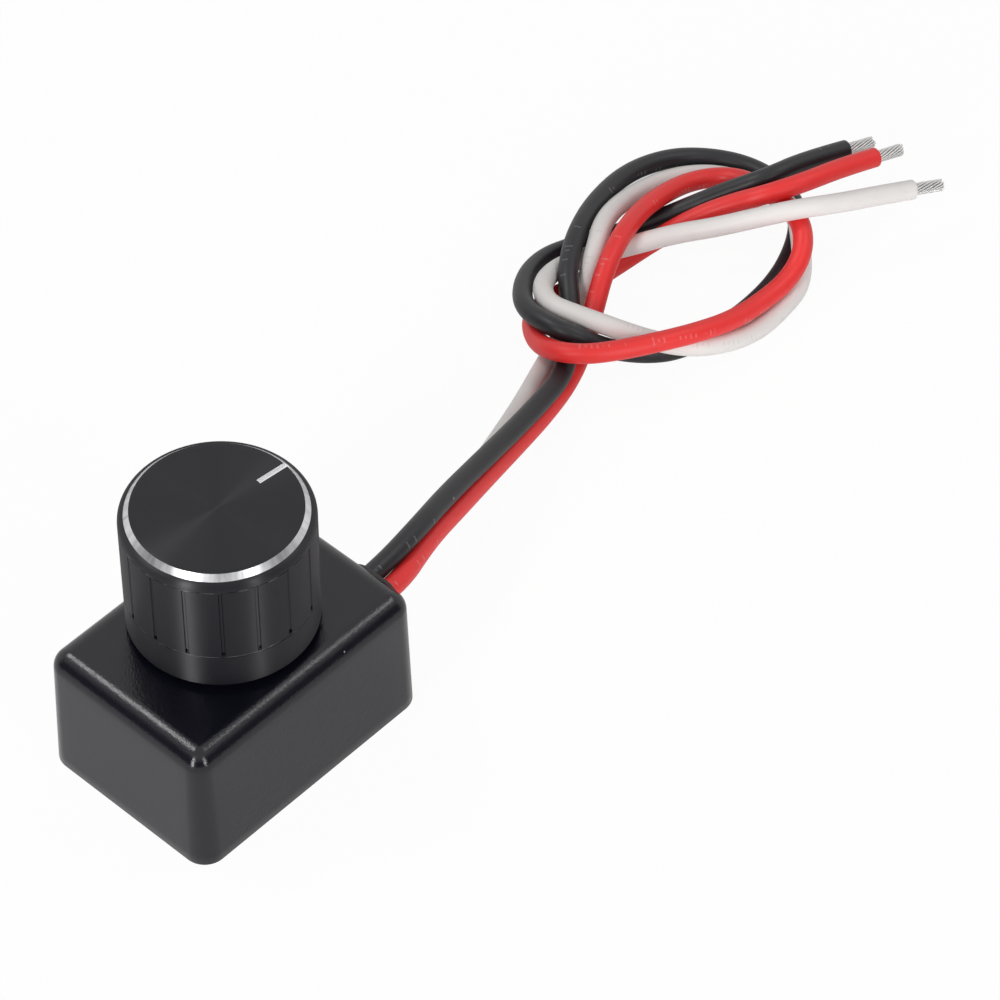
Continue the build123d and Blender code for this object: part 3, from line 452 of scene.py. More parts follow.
@dataclass(frozen=True)
class PrintedSleeve(Finish):
    """A wire's soft sleeve, with a faint printed row of plain ticks along it.

    The surface map's first coordinate is the distance along the wire in metres, and its second is
    the share of a turn round it.
    """

    ink: Colour = (0.5, 0.5, 0.5)
    ink_strength: float = 0.6
    ink_turn: float = 0.25
    ink_width: float = 0.15
    ink_reach: tuple[float, float] = (-0.3, 0.5)
    wear_scale: float = 4000.0
    wear_span: tuple[float, float] = (0.3, 1.3)
    tick_pitch: float = 0.62 * MM
    tick_share: float = 0.33
    group_pitch: float = 10.5 * MM
    group_share: float = 0.72

    def tint(self, nodes: NodeTree, colour: Socket) -> Socket:
        """Lays the ticks over the sleeve's colour, in groups with plain stretches between them.

        A tick is where the part after the point of the distance over the pitch is under the tick's
        share, and where the turn is near the printed line. Its reach round the wire is uneven from
        tick to tick, and a tick whose reach comes out below nothing is missing.
        """
        along, turn = nodes.surface_place()
        count = nodes.math("DIVIDE", along, self.tick_pitch)
        in_tick = nodes.math("LESS_THAN", nodes.math("FRACT", count), self.tick_share)
        group = nodes.math("FRACT", nodes.math("DIVIDE", along, self.group_pitch))
        in_group = nodes.math("LESS_THAN", group, self.group_share)
        chance = nodes.add("ShaderNodeTexWhiteNoise", noise_dimensions="1D")
        nodes.feed(chance.inputs["W"], nodes.math("FLOOR", count))
        limits = (share * self.ink_width for share in self.ink_reach)
        reach = nodes.carry(chance.outputs["Value"], *limits)
        aside = nodes.math("ABSOLUTE", nodes.math("SUBTRACT", nodes.math("FRACT", turn), self.ink_turn))
        on_line = nodes.math("LESS_THAN", aside, reach)
        mask = nodes.math("MULTIPLY", nodes.math("MULTIPLY", in_tick, in_group), on_line)
        wear = nodes.noise(nodes.place(), self.wear_scale, FINE_DETAIL)
        inked = nodes.math("MULTIPLY", mask, nodes.carry(wear, *self.wear_span), clamp=True)
        return nodes.mix(nodes.math("MULTIPLY", inked, self.ink_strength), colour, (*self.ink, 1.0))


# The studio


@dataclass(frozen=True)
class Lamp:
    """A soft rectangular lamp, placed by its bearing from the camera's side and its elevation."""

    name: str
    bearing: float
    elevation: float
    distance: float
    width: float
    height: float
    power: float


@dataclass
class Studio:
    """The camera, the lamps, the surroundings and the floor."""

    yaw: float = 47.189
    elevation: float = 47.665
    distance: float = 510.733 * MM
    target: Point = (41.852 * MM, 1.399 * MM, 0.0)
    focal_length: float = 169.18
    sensor: float = 36.0
    near_clip: float = 0.01
    floor_size: float = 4.0
    floor_colour: Colour = (0.92, 0.92, 0.92)
    backdrop_share: float = 0.95
    gloss_share: float = 0.34
    fill: float = 0.34
    room_strength: float = 0.15
    room_bearing: tuple[float, float] = (-0.25, 0.1)
    room_height: tuple[float, float] = (0.45, 0.75)
    lamps: tuple[Lamp, ...] = (
        Lamp("left_strip", -32.0, 22.0, 0.65, 0.09, 0.5, 2.35),
        Lamp("right_strip", 35.0, 22.0, 0.7, 0.07, 0.5, 1.35),
        Lamp("back_left_softbox", -110.0, 59.0, 0.7, 0.22, 0.12, 0.8),
        Lamp("back_right_softbox", 108.0, 58.0, 0.7, 0.22, 0.12, 0.4),
    )

    def towards(self, bearing: float, elevation: float) -> Vector:
        """The direction at a bearing from the camera's side, positive to the picture's right.

        With no yaw, the camera's side is -Y.
        """
        turn = math.radians(bearing - self.yaw - 90.0)
        rise = math.radians(elevation)
        return Vector((math.cos(rise) * math.cos(turn), math.cos(rise) * math.sin(turn), math.sin(rise)))

    def build(self) -> None:
        """Sets up everything that isn't part of the dimmer."""
        scene = bpy.context.scene
        scene.view_settings.view_transform = "Standard"
        self.add_camera(scene)
        for lamp in self.lamps:
            self.add_lamp(scene, lamp)
        self.light_surroundings(scene)
        self.lay_floor(scene)

    def add_camera(self, scene: bpy.types.Scene) -> None:
        """Adds the camera at the photograph's viewing angle."""
        data = bpy.data.cameras.new("studio_camera")
        data.lens = self.focal_length
        data.sensor_width = self.sensor
        data.sensor_fit = "HORIZONTAL"
        data.clip_start = self.near_clip
        camera = bpy.data.objects.new("studio_camera", data)
        self.aim(camera, 0.0, self.elevation, self.distance)
        scene.collection.objects.link(camera)
        scene.camera = camera

    def aim(self, thing: bpy.types.Object, bearing: float, elevation: float, distance: float) -> None:
        """Places a camera or lamp at a distance from the target and turns it to face the target."""
        away = self.towards(bearing, elevation)
        thing.location = Vector(self.target) + away * distance
        thing.rotation_euler = away.to_track_quat("Z", "Y").to_euler()

    def add_lamp(self, scene: bpy.types.Scene, lamp: Lamp) -> None:
        """Adds one lamp."""
        data = bpy.data.lights.new(lamp.name, "AREA")
        data.shape = "RECTANGLE"
        data.size = lamp.width
        data.size_y = lamp.height
        data.energy = lamp.power
        light = bpy.data.objects.new(lamp.name, data)
        self.aim(light, lamp.bearing, lamp.elevation, lamp.distance)
        scene.collection.objects.link(light)

    def seen_directly(self, nodes: NodeTree) -> Socket:
        """Is 1 for what the camera sees, itself or in metal, gloss or glass, and 0 for other light."""
        path = nodes.add("ShaderNodeLightPath")
        seen = nodes.math("MAXIMUM", path.outputs["Is Camera Ray"], path.outputs["Is Glossy Ray"])
        return nodes.math("MAXIMUM", seen, path.outputs["Is Transmission Ray"])

    def reflected_room(self, nodes: NodeTree) -> Socket:
        """The surroundings' strength in gloss: white, but dim low down on the camera's side, as in a room.

        The dimness is the product of two smooth steps. One reads how far a direction points to the
        camera's side, and the other how far it points up.
        """
        direction = nodes.add("ShaderNodeTexCoord").outputs["Generated"]
        ahead = tuple(self.towards(0.0, 0.0))
        forward = nodes.add("ShaderNodeVectorMath", direction, ahead, operation="DOT_PRODUCT")
        parts = nodes.add("ShaderNodeSeparateXYZ", direction)
        near = nodes.ease(forward.outputs["Value"], self.room_bearing, 0.0, 1.0)
        low = nodes.ease(parts.outputs["Z"], self.room_height, 1.0, 0.0)
        return nodes.carry(nodes.math("MULTIPLY", near, low), 1.0, self.room_strength)

    def light_surroundings(self, scene: bpy.types.Scene) -> None:
        """Makes the surroundings white to the camera, a room in gloss, and a softer fill elsewhere."""
        world = bpy.data.worlds.new("studio_surroundings")
        world.use_nodes = True
        nodes = NodeTree(world.node_tree)
        camera_ray = nodes.add("ShaderNodeLightPath").outputs["Is Camera Ray"]
        seen = nodes.math("MAXIMUM", camera_ray, self.reflected_room(nodes))
        added = nodes.math("SUBTRACT", seen, self.fill)
        strength = nodes.math("MULTIPLY_ADD", self.seen_directly(nodes), added, self.fill)
        background = nodes.add("ShaderNodeBackground", WHITE, strength)
        nodes.add("ShaderNodeOutputWorld", background.outputs[0])
        scene.world = world

    def lay_floor(self, scene: bpy.types.Scene) -> None:
        """Lays white paper that is partly a plain white of its own, and so keeps a faint shadow."""
        half = self.floor_size / 2
        corners = [(-half, -half, 0.0), (half, -half, 0.0), (half, half, 0.0), (-half, half, 0.0)]
        mesh = bpy.data.meshes.new("studio_floor")
        mesh.from_pydata(corners, [], [[0, 1, 2, 3]])
        floor = bpy.data.objects.new("studio_floor", mesh)
        scene.collection.objects.link(floor)
        material = bpy.data.materials.new("white paper")
        material.use_nodes = True
        nodes = NodeTree(material.node_tree)
        paper = nodes.add("ShaderNodeBsdfDiffuse", (*self.floor_colour, 1.0))
        glow = nodes.add("ShaderNodeEmission", WHITE, 1.0)
        camera_ray = nodes.add("ShaderNodeLightPath").outputs["Is Camera Ray"]
        in_gloss = nodes.math("MULTIPLY", self.seen_directly(nodes), self.gloss_share)
        share = nodes.math("MULTIPLY_ADD", camera_ray, self.backdrop_share - self.gloss_share, in_gloss)
        mixed = nodes.add("ShaderNodeMixShader", share, paper.outputs[0], glow.outputs[0])
        nodes.add("ShaderNodeOutputMaterial", mixed.outputs[0])
        mesh.materials.append(material)


# The box


@dataclass
class Housing:
    """The moulded box: drafted walls, a rounded top edge and rounded corners, open below."""

    length: float = 32.0 * MM
    width: float = 23.0 * MM
    height: float = 16.2 * MM
    draft: float = 1.75
    corner_radius: float = 2.5 * MM
    top_radius: float = 2.2 * MM
    wall: float = 1.5 * MM
    roof: float = 1.8 * MM
    rim_bevel: float = 0.12 * MM
    rim_share: float = 0.3
    least_radius: float = 0.05 * MM
    outlet_centre: Point = (15.65 * MM, -5.3 * MM, 11.35 * MM)
    outlet_width: float = 5.8 * MM
    outlet_height: float = 5.5 * MM
    outlet_radius: float = 1.6 * MM
    bushing_hole: float = 3.6 * MM
    arc_points: int = 14
    side_points: int = 12
    outer_rows: int = 12
    inner_rows: int = 8
    hole_sides: int = 64
    crease: float = 35.0
    plastic: Finish = Finish(
        "moulded black plastic", (0.0035, 0.0035, 0.0075), roughness=0.18, gloss_variation=0.03,
        variation=0.25, bump=1.0, bump_height=0.022 * MM, fine_scale=4600.0, coarse_scale=900.0, speck=0.5,
        specular=0.44,
    )

    def rounded_rectangle(
        self, half_length: np.ndarray, half_width: np.ndarray, radius: np.ndarray
    ) -> np.ndarray:
        """Points round rounded rectangles: a quarter circle at each corner, and straight sides between.

        Args:
            half_length: half the length of each ring.
            half_width: half the width of each ring.
            radius: the corner radius of each ring.

        Returns:
            The points, shaped (rings, points in a ring, 2).
        """
        quarter = np.arange(4)[:, None] * math.pi / 2
        angle = (np.linspace(0.0, math.pi / 2, self.arc_points)[None, :] + quarter)[None]
        signs = np.array([(1, 1), (-1, 1), (-1, -1), (1, -1)])
        centre_x = (half_length - radius)[:, None, None] * signs[None, :, :1]
        centre_y = (half_width - radius)[:, None, None] * signs[None, :, 1:]
        reach = radius[:, None, None]
        corners = np.stack([centre_x + reach * np.cos(angle), centre_y + reach * np.sin(angle)], -1)
        share = np.linspace(0.0, 1.0, self.side_points + 2)[1:-1, None]
        following = np.roll(corners, -1, axis=1)
        sides = corners[:, :, -1:, :] * (1 - share) + following[:, :, :1, :] * share
        return np.concatenate([corners, sides], axis=2).reshape(len(radius), -1, 2)

    def stations(self) -> np.ndarray:
        """The inset from the base's outline and the height of each ring, down the outside and up the inside.

        A drafted wall's inset is its height times the draft's tangent. The top edge is an arc whose
        centre lies a radius inside the wall and a radius below the top. A point at a share of the
        bevel rounds the rim's outer corner.
        """
        draft = math.radians(self.draft)
        slope = math.tan(draft)
        turn = np.linspace(math.pi / 2, draft, self.arc_points)
        centre_height = self.height - self.top_radius
        centre_inset = centre_height * slope + self.top_radius / math.cos(draft)
        top_inset = centre_inset - self.top_radius * np.cos(turn)
        top_edge = np.stack([top_inset, centre_height + self.top_radius * np.sin(turn)], -1)
        bevel, wall = self.rim_bevel, self.wall
        outer_heights = np.linspace(top_edge[-1, 1], bevel, self.outer_rows)[1:]
        outside = np.stack([outer_heights * slope, outer_heights], -1)
        step = bevel * self.rim_share
        rim = np.array([(step, step), (bevel, 0.0), (wall - bevel, 0.0), (wall, bevel)])
        inner_heights = np.linspace(bevel, self.height - self.roof, self.inner_rows)[1:]
        inside = np.stack([wall + inner_heights * slope, inner_heights], -1)
        return np.concatenate([top_edge, outside, rim, inside])

    def build(self) -> None:
        """Makes the box's shell from rings, cuts its two holes and dresses it."""
        inset, height = self.stations().T
        radius = np.maximum(self.corner_radius - inset, self.least_radius)
        flat = self.rounded_rectangle(self.length / 2 - inset, self.width / 2 - inset, radius)
        rings = np.concatenate([flat, np.broadcast_to(height[:, None, None], (*flat.shape[:2], 1))], axis=2)
        along = np.linspace(0.0, 1.0, len(inset))
        around = np.linspace(0.0, 1.0, rings.shape[1] + 1)
        piece = ring_surface("box_shell", rings[None], surface_grid(along, around))
        material = self.plastic.build()
        piece.data.materials.append(material)
        cut_away(piece, [self.outlet_cutter(material), self.bushing_cutter(material)])
        shade(piece, self.crease)
        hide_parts("housing")
        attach(piece, "box")
        report(piece)

    def outlet_cutter(self, material: Material) -> Piece:
        """A prism of the outlet's rounded outline that passes through the end wall."""
        sizes = (self.outlet_width / 2, self.outlet_height / 2, self.outlet_radius)
        outline = self.rounded_rectangle(*(np.array([size]) for size in sizes))[0]
        x, y, z = self.outlet_centre
        start = np.full(len(outline), x - 2 * self.wall)
        points = np.stack([start, y + outline[:, 0], z + outline[:, 1]], -1)
        return prism("outlet_cutter", points, (4 * self.wall, 0.0, 0.0), material)

    def bushing_cutter(self, material: Material) -> Piece:
        """A cylinder that passes through the roof on the knob's axis."""
        turn = np.linspace(0.0, math.tau, self.hole_sides, endpoint=False)
        x = KNOB_AXIS[0] + self.bushing_hole * np.cos(turn)
        y = KNOB_AXIS[1] + self.bushing_hole * np.sin(turn)
        points = np.stack([x, y, np.full(len(turn), self.height - 2 * self.roof)], -1)
        return prism("bushing_cutter", points, (0.0, 0.0, 3 * self.roof), material)


# The knob

KNOB_AXIS = (0.3 * MM, 1.2 * MM)


class KnobSurface(Enum):
    """The knob's surfaces, by their places in the mesh's list of materials."""

    FACE = 0
    CUT = 1
    SIDE = 2


class Station(NamedTuple):
    """A corner of the knob's outline. The surface is that of the stretch from it to the next one."""

    radius: float
    height: float
    flute_depth: float = 0.0
    surface: KnobSurface = KnobSurface.SIDE


@dataclass
class Knob:
    """The turned metal shell: a ringed face, a bright chamfer, a round shoulder, flutes and a band.

    Small shares of the edge's size break the corners.
    """

    radius: float = 10.0 * MM
    face_radius: float = 8.8 * MM
    face_shares: tuple[float, ...] = (0.02, 0.2, 0.4, 0.6, 0.8, 0.93)
    chamfer_radius: float = 9.36 * MM
    chamfer_height: float = 0.61 * MM
    shoulder_height: float = 0.85 * MM
    shoulder_start: float = 0.2
    shoulder_rows: int = 7
    groove_depth: float = 0.12 * MM
    groove_width: float = 0.15 * MM
    grip_rows: int = 7
    band_height: float = 4.1 * MM
    band_rows: int = 5
    face_thickness: float = 2.0 * MM
    core_radius: float = 8.3 * MM
    edge: float = 0.04 * MM
    flute_count: int = 17
    flute_width: float = 0.42 * MM
    flute_depth: float = 0.12 * MM
    flute_start: float = 14.6
    flute_wall: float = 0.09 * MM
    flute_margin: float = 0.1 * MM
    flute_floor: float = 0.4
    flute_foot_depth: float = 0.4 * MM
    flute_foot_height: float = 0.55 * MM
    pointer_angle: float = -6.1
    pointer_start: float = 5.3 * MM
    pointer_width: float = 0.6 * MM
    pointer_depth: float = 0.3 * MM
    pointer_overrun: float = 1.05
    gap_columns: int = 12
    crease: float = 32.0
    pointer_colour: Colour = (0.8, 0.8, 0.82)
    face_finish: TurnedMetal = TurnedMetal(
        "turned black face", (0.0032, 0.0032, 0.0065), roughness=0.3, gloss_variation=0.03, bump=0.35,
        bump_height=0.006 * MM, specular=0.36, axis=KNOB_AXIS, pitch=0.11 * MM, anisotropy=0.88,
    )
    # The bright cut edge carries painted reflection: its darker streaks stand in for the surroundings
    # mirrored in the chamfer
    cut_finish: TurnedMetal = TurnedMetal(
        "bright cut edge", (0.66, 0.66, 0.68), roughness=0.33, metallic=1.0, variation=0.05,
        gloss_variation=0.06, bump=0.25, bump_height=0.004 * MM, axis=KNOB_AXIS, pitch=0.05 * MM,
        anisotropy=0.3, painted_reflection=0.45, painted_reflection_width=0.8 * MM,
    )
    side_finish: TurnedMetal = TurnedMetal(
        "black anodised side", (0.0032, 0.0032, 0.0065), roughness=0.45, gloss_variation=0.03, bump=0.3,
        bump_height=0.005 * MM, specular=0.48, axis=KNOB_AXIS, pitch=0.09 * MM, anisotropy=0.97,
        ring_share=0.6, speck=0.35,
    )

    def face_stations(self, top: float) -> list[Station]:
        """The face out to its chamfer's foot."""
        face, cut = KnobSurface.FACE, KnobSurface.CUT
        foot = top - self.chamfer_height
        return [
            *(Station(self.face_radius * share, top, 0.0, face) for share in self.face_shares),
            Station(self.face_radius - self.edge, top, 0.0, face),
            Station(self.face_radius, top - self.edge * 0.2, 0.0, cut),
            Station(self.chamfer_radius - self.edge * 0.5, foot + self.edge * 0.5, 0.0, cut),
            Station(self.chamfer_radius, foot),
        ]

    def shoulder_stations(self, top: float, foot: float) -> list[Station]:
        """The round shoulder, a quarter of an ellipse, and the fine groove under it."""
        turns = np.linspace(self.shoulder_start, math.pi / 2, self.shoulder_rows)
        radii = self.chamfer_radius + (self.radius - self.chamfer_radius) * np.sin(turns)
        heights = foot + (top - foot) * np.cos(turns)
        groove = self.radius - self.groove_depth
        groove_foot = foot - self.groove_width
        return [
            *map(Station, radii, heights),
            Station(self.radius, foot - self.edge),
            Station(groove, foot - self.edge * 1.5),
            Station(groove, groove_foot),
            Station(self.radius - self.edge, groove_foot - self.edge * 0.5),
        ]

    def grip_stations(self, top: float, foot: float) -> list[Station]:
        """The fluted grip: the flutes end short of both grooves, each with a deeper pocket at its foot."""
        high, low = top - self.flute_margin, foot + self.flute_margin
        pocket_top = low + self.flute_foot_height
        heights = np.linspace(high - self.edge, pocket_top + self.edge, self.grip_rows)
        return [
            Station(self.radius, top - self.edge),
            Station(self.radius, high),
            *(Station(self.radius, height, self.flute_depth) for height in heights),
            Station(self.radius, pocket_top, self.flute_foot_depth),
            Station(self.radius, low + self.edge, self.flute_foot_depth),
            Station(self.radius, low),
            Station(self.radius, foot + self.edge * 0.2),
        ]

    def band_stations(self, band_top: float, bottom: float, top: float) -> list[Station]:
        """The groove over the plain band, the band, and the way back up the inside."""
        groove = self.radius - self.groove_depth
        heights = np.linspace(band_top - self.edge, bottom + self.edge * 4, self.band_rows)
        return [
            Station(groove, band_top + self.groove_width - self.edge),
            Station(groove, band_top + self.edge),
            *(Station(self.radius, height) for height in heights),
            Station(self.radius - self.edge * 1.2, bottom + self.edge),
            Station(self.radius - self.edge * 4, bottom),
            Station(self.core_radius, bottom),
            Station(self.core_radius, top - self.face_thickness),
        ]

    def angles(self) -> np.ndarray:
        """The angles round the knob: close together at each flute's walls, even between the flutes."""
        half = self.flute_width / 2 / self.radius
        wall = self.flute_wall / self.radius
        right = np.array([half * self.flute_floor, half - wall, half, half + wall])
        pitch = math.tau / self.flute_count
        between = np.linspace(half + wall, pitch - half - wall, self.gap_columns)[1:-1]
        one = np.concatenate([-right[::-1], right, between])
        centres = math.radians(self.flute_start) + pitch * np.arange(self.flute_count)
        return (centres[:, None] + one[None, :]).ravel()

    def flute_share(self, angles: np.ndarray) -> np.ndarray:
        """How much of a flute's depth is cut at each angle: none outside it, all of it past its walls."""
        pitch = math.tau / self.flute_count
        offset = np.abs((angles - math.radians(self.flute_start) + pitch / 2) % pitch - pitch / 2)
        half = self.flute_width / 2 / self.radius
        return np.clip((half - offset) / (self.flute_wall / self.radius), 0.0, 1.0)

    def build(self) -> None:
        """Carries the outline round the axis, cuts the flutes into it, and mills the pointer."""
        low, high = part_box("knob_shell")
        bottom, top = low[2], high[2]
        shoulder_top = top - self.chamfer_height
        shoulder_foot = shoulder_top - self.shoulder_height
        band_top = bottom + self.band_height
        stations = self.face_stations(top) + self.shoulder_stations(shoulder_top, shoulder_foot)
        stations += self.grip_stations(shoulder_foot - self.groove_width, band_top + self.groove_width)
        stations += self.band_stations(band_top, bottom, top)
        radii, heights, depths = np.array([station[:3] for station in stations]).T
        angles = self.angles()
        reach = radii[:, None] - depths[:, None] * self.flute_share(angles)[None, :]
        x = KNOB_AXIS[0] + reach * np.cos(angles)
        y = KNOB_AXIS[1] + reach * np.sin(angles)
        rings = np.stack([x, y, np.broadcast_to(heights[:, None], reach.shape)], -1)
        along = np.concatenate([[0.0], np.cumsum(np.hypot(np.diff(radii), np.diff(heights)))])
        around = np.append(angles, angles[0] + math.tau) * self.radius
        piece = ring_surface("knob_metal_shell", rings[None], surface_grid(along, around))
        worn = (shoulder_foot - self.groove_width, band_top + self.groove_width)
        for finish in (self.face_finish, self.cut_finish, replace(self.side_finish, worn_heights=worn)):
            piece.data.materials.append(finish.build())
        bands = np.repeat([station.surface.value for station in stations[:-1]], len(angles))
        surfaces = np.concatenate([bands, [KnobSurface.FACE.value, KnobSurface.SIDE.value]])
        piece.data.polygons.foreach_set("material_index", surfaces.astype(np.int32))
        cut_away(piece, [self.pointer_cutter(top)])
        shade(piece, self.crease)
        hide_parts("knob_shell")
        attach(piece, "knob")
        report(piece)

    def pointer_cutter(self, top: float) -> Piece:
        """The milling cutter's path: a straight slot from inside the face out past the rim."""
        turn = math.radians(self.pointer_angle)
        outwards = np.array([math.cos(turn), math.sin(turn)])
        across = np.array([-math.sin(turn), math.cos(turn)]) * self.pointer_width / 2
        near, far = outwards * self.pointer_start, outwards * self.radius * self.pointer_overrun
        flat = np.array([near - across, far - across, far + across, near + across]) + np.array(KNOB_AXIS)
        points = np.concatenate([flat, np.full((4, 1), top - self.pointer_depth)], axis=1)
        name = "bright milled pointer"
        # The milled pointer is the cut edge's finish in a lighter colour, without its painted reflection
        # streaks
        milled = replace(self.cut_finish, name=name, colour=self.pointer_colour, painted_reflection=0.0)
        return prism("pointer_cutter", points, (0.0, 0.0, 3 * self.pointer_depth), milled.build())


# The wires


class WireColour(Enum):
    """The three wires, by the colour of their sleeves."""

    BLACK = "black"
    WHITE = "white"
    RED = "red"


@dataclass
class Wire:
    """A limp wire: a sleeve along a smooth line, and a bundle of twisted strands at its bare end.

    The route is the line's control points, in millimetres.
    """

    colour: WireColour
    route: Sequence[Point]
    length: float
    sleeve: PrintedSleeve
    outlet_x: float = 16.0 * MM
    diameter: float = 2.3 * MM
    sides: int = 28
    curve_steps: int = 20
    twist_length: float = 70.0 * MM
    cut_radius: float = 0.12 * MM
    bore_depth: float = 0.5 * MM
    strand_layers: int = 3
    strand_diameter: float = 0.285 * MM
    strand_sides: int = 8
    strand_rings: int = 22
    strand_pitch: float = 11.0 * MM
    strand_spread: float = 0.03 * MM
    stripped_length: float = 3.9 * MM
    ragged: float = 0.35 * MM
    crease: float = 50.0
    tin: Finish = Finish(
        "tinned copper strand", (0.62, 0.61, 0.6), roughness=0.4, metallic=1.0, variation=0.25,
        bump=0.3, bump_height=0.01 * MM, fine_scale=9000.0, coarse_scale=900.0,
    )

    def line(self) -> np.ndarray:
        """The points of the route's NURBS curve of order three, from inside the box to the sleeve's end."""
        curve = bpy.data.curves.new("wire_line", "CURVE")
        curve.dimensions = "3D"
        curve.resolution_u = self.curve_steps
        spline = curve.splines.new("NURBS")
        spline.points.add(len(self.route) - 1)
        points = np.column_stack([np.array(self.route) * MM, np.ones(len(self.route))])
        spline.points.foreach_set("co", points.astype(np.float32).ravel())
        spline.order_u = 3
        spline.use_endpoint_u = True
        holder = bpy.data.objects.new("wire_line", curve)
        mesh = bpy.data.meshes.new_from_object(holder)
        flat = np.empty(len(mesh.vertices) * 3, np.float32)
        mesh.vertices.foreach_get("co", flat)
        bpy.data.objects.remove(holder)
        bpy.data.curves.remove(curve)
        bpy.data.meshes.remove(mesh)
        return flat.reshape(-1, 3).astype(float)

    def frames(self, line: np.ndarray) -> tuple[np.ndarray, np.ndarray, np.ndarray]:
        """The unit vectors along the line, level across it, and square to both."""
        tangent = np.gradient(line, axis=0)
        tangent /= np.linalg.norm(tangent, axis=1, keepdims=True)
        across = np.cross(tangent, (0.0, 0.0, 1.0))
        across /= np.linalg.norm(across, axis=1, keepdims=True)
        return tangent, across, np.cross(across, tangent)

    def build(self) -> None:
        line = self.line()
        sleeve = self.build_sleeve(line)
        strands = self.build_strands(line)

    def build_sleeve(self, line: np.ndarray) -> Piece:
        """Makes the sleeve: circles square to the line, and a rounded, hollow cut at the bare end.

        A point of a circle lies at the radius times the cosine of its turn across the line, plus the
        radius times its sine square to that. The bore is as wide as the outermost layer of strands.
        The printed side turns slowly along the wire.
        """
        tangent, across, upward = self.frames(line)
        radius = self.diameter / 2
        bore = self.strand_diameter * (self.strand_layers - 0.5) + self.strand_spread
        bend = np.linspace(0.0, math.pi / 2, 4)[1:]
        end_steps = np.concatenate([self.cut_radius * np.sin(bend), [self.cut_radius, -self.bore_depth]])
        end_radii = np.concatenate([radius - self.cut_radius * (1 - np.cos(bend)), [bore, bore]])
        body = line[:-1]
        body = body[np.linalg.norm(body - line[-1], axis=1) > 2 * self.cut_radius]
        count = len(body)
        final = line[-1] - tangent[-1] * self.cut_radius
        centres = np.concatenate([body, [final], final + end_steps[:, None] * tangent[-1]])
        radii = np.concatenate([np.full(count + 1, radius), end_radii])
        pick = np.concatenate([np.arange(count), np.full(len(radii) - count, len(line) - 1)])
        turn = np.linspace(0.0, math.tau, self.sides, endpoint=False)[:, None]
        circle = np.cos(turn) * across[pick][:, None] + np.sin(turn) * upward[pick][:, None]
        rings = centres[:, None] + radii[:, None, None] * circle
        steps = np.linalg.norm(np.diff(centres, axis=0), axis=1)
        along = np.concatenate([[0.0], np.cumsum(steps)])
        around = np.linspace(0.0, 1.0, self.sides + 1)[None, :] + along[:, None] / self.twist_length
        piece = ring_surface(f"{self.colour.value}_sleeve", rings[None], surface_grid(along, around))
        piece.data.materials.append(self.sleeve.build())
        shade(piece, self.crease)
        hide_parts(f"{self.colour.value}_wire")
        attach(piece, "box")
        report(piece)
        return piece

    def strand_places(self) -> tuple[np.ndarray, np.ndarray]:
        """Each strand's distance from the bundle's middle and its turn, in layers of 1, 6, 12 and so on."""
        counts = [1, *(6 * layer for layer in range(1, self.strand_layers))]
        distance = np.repeat(np.arange(self.strand_layers) * self.strand_diameter, counts)
        return distance, np.concatenate([np.arange(count) / count for count in counts]) * math.tau

    def build_strands(self, line: np.ndarray) -> Piece:
        """Makes the strands: thin tubes on helices about the wire's last direction, with ragged ends.

        A strand's centre turns about the bundle's middle once in each pitch, and its distance from
        the middle grows a little towards the end, by a different amount for each strand.
        """
        tangent, across, upward = (vectors[-1] for vectors in self.frames(line))
        chance = np.random.default_rng(sum(map(ord, self.colour.value)))
        distance, phase = self.strand_places()
        count = len(distance)
        reach = self.stripped_length - chance.uniform(0.0, self.ragged, count)
        share = np.linspace(0.0, 1.0, self.strand_rings)
        along = -self.bore_depth + (reach + self.bore_depth)[:, None] * share
        angle = phase[:, None] + math.tau * along / self.strand_pitch
        loosening = np.clip(along / self.stripped_length, 0.0, 1.0) ** 2
        spread = distance[:, None] + chance.uniform(-1.0, 1.0, (count, 1)) * self.strand_spread * loosening
        outwards = np.cos(angle)[..., None] * across + np.sin(angle)[..., None] * upward
        centres = line[-1] + along[..., None] * tangent + spread[..., None] * outwards
        turn = np.linspace(0.0, math.tau, self.strand_sides, endpoint=False)[:, None]
        circle = self.strand_diameter / 2 * (np.cos(turn) * across + np.sin(turn) * upward)
        rings = centres[:, :, None] + circle
        around = np.linspace(0.0, 1.0, self.strand_sides + 1)
        piece = ring_surface(f"{self.colour.value}_strands", rings, surface_grid(along[0], around))
        piece.data.materials.append(self.tin.build())
        shade(piece, self.crease)
        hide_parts(f"{self.colour.value}_conductor")
        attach(piece, "box")
        report(piece)
        return piece


BLACK_ROUTE: tuple[Point, ...] = (
    (11.0, -4.1, 12.8), (17.5, -4.0, 12.9), (24.5, -2.8, 12.6), (31.2, -0.7, 10.8), (38.3, 1.4, 8.4),
    (45.4, 3.3, 6.3), (52.0, 5.0, 4.7), (57.8, 6.6, 3.7), (62.5, 9.9, 3.4), (66.3, 13.3, 3.8),
    (69.1, 16.4, 5.2), (73.7, 19.3, 5.5), (79.9, 22.0, 4.4), (86.8, 23.4, 3.2), (92.8, 22.4, 2.1),
    (96.8, 19.6, 1.3), (99.1, 15.3, 1.2), (99.3, 10.4, 1.2), (97.4, 6.1, 1.2), (93.3, 2.9, 1.2),
    (87.5, 0.6, 1.2), (81.6, -0.1, 1.2), (75.8, 0.3, 1.2), (71.0, 1.5, 1.2), (68.0, 3.7, 1.4),
    (64.3, 5.9, 3.4), (61.6, 8.1, 5.9), (60.4, 11.4, 6.4), (61.4, 16.2, 5.3), (65.9, 20.1, 3.6),
    (71.1, 21.9, 2.0), (75.9, 20.9, 1.2), (79.8, 18.9, 1.3), (84.4, 16.9, 1.5), (88.2, 14.4, 3.0),
    (91.1, 11.3, 5.4), (94.0, 8.1, 7.5), (99.3, 7.2, 6.9), (105.0, 5.7, 5.7),
)
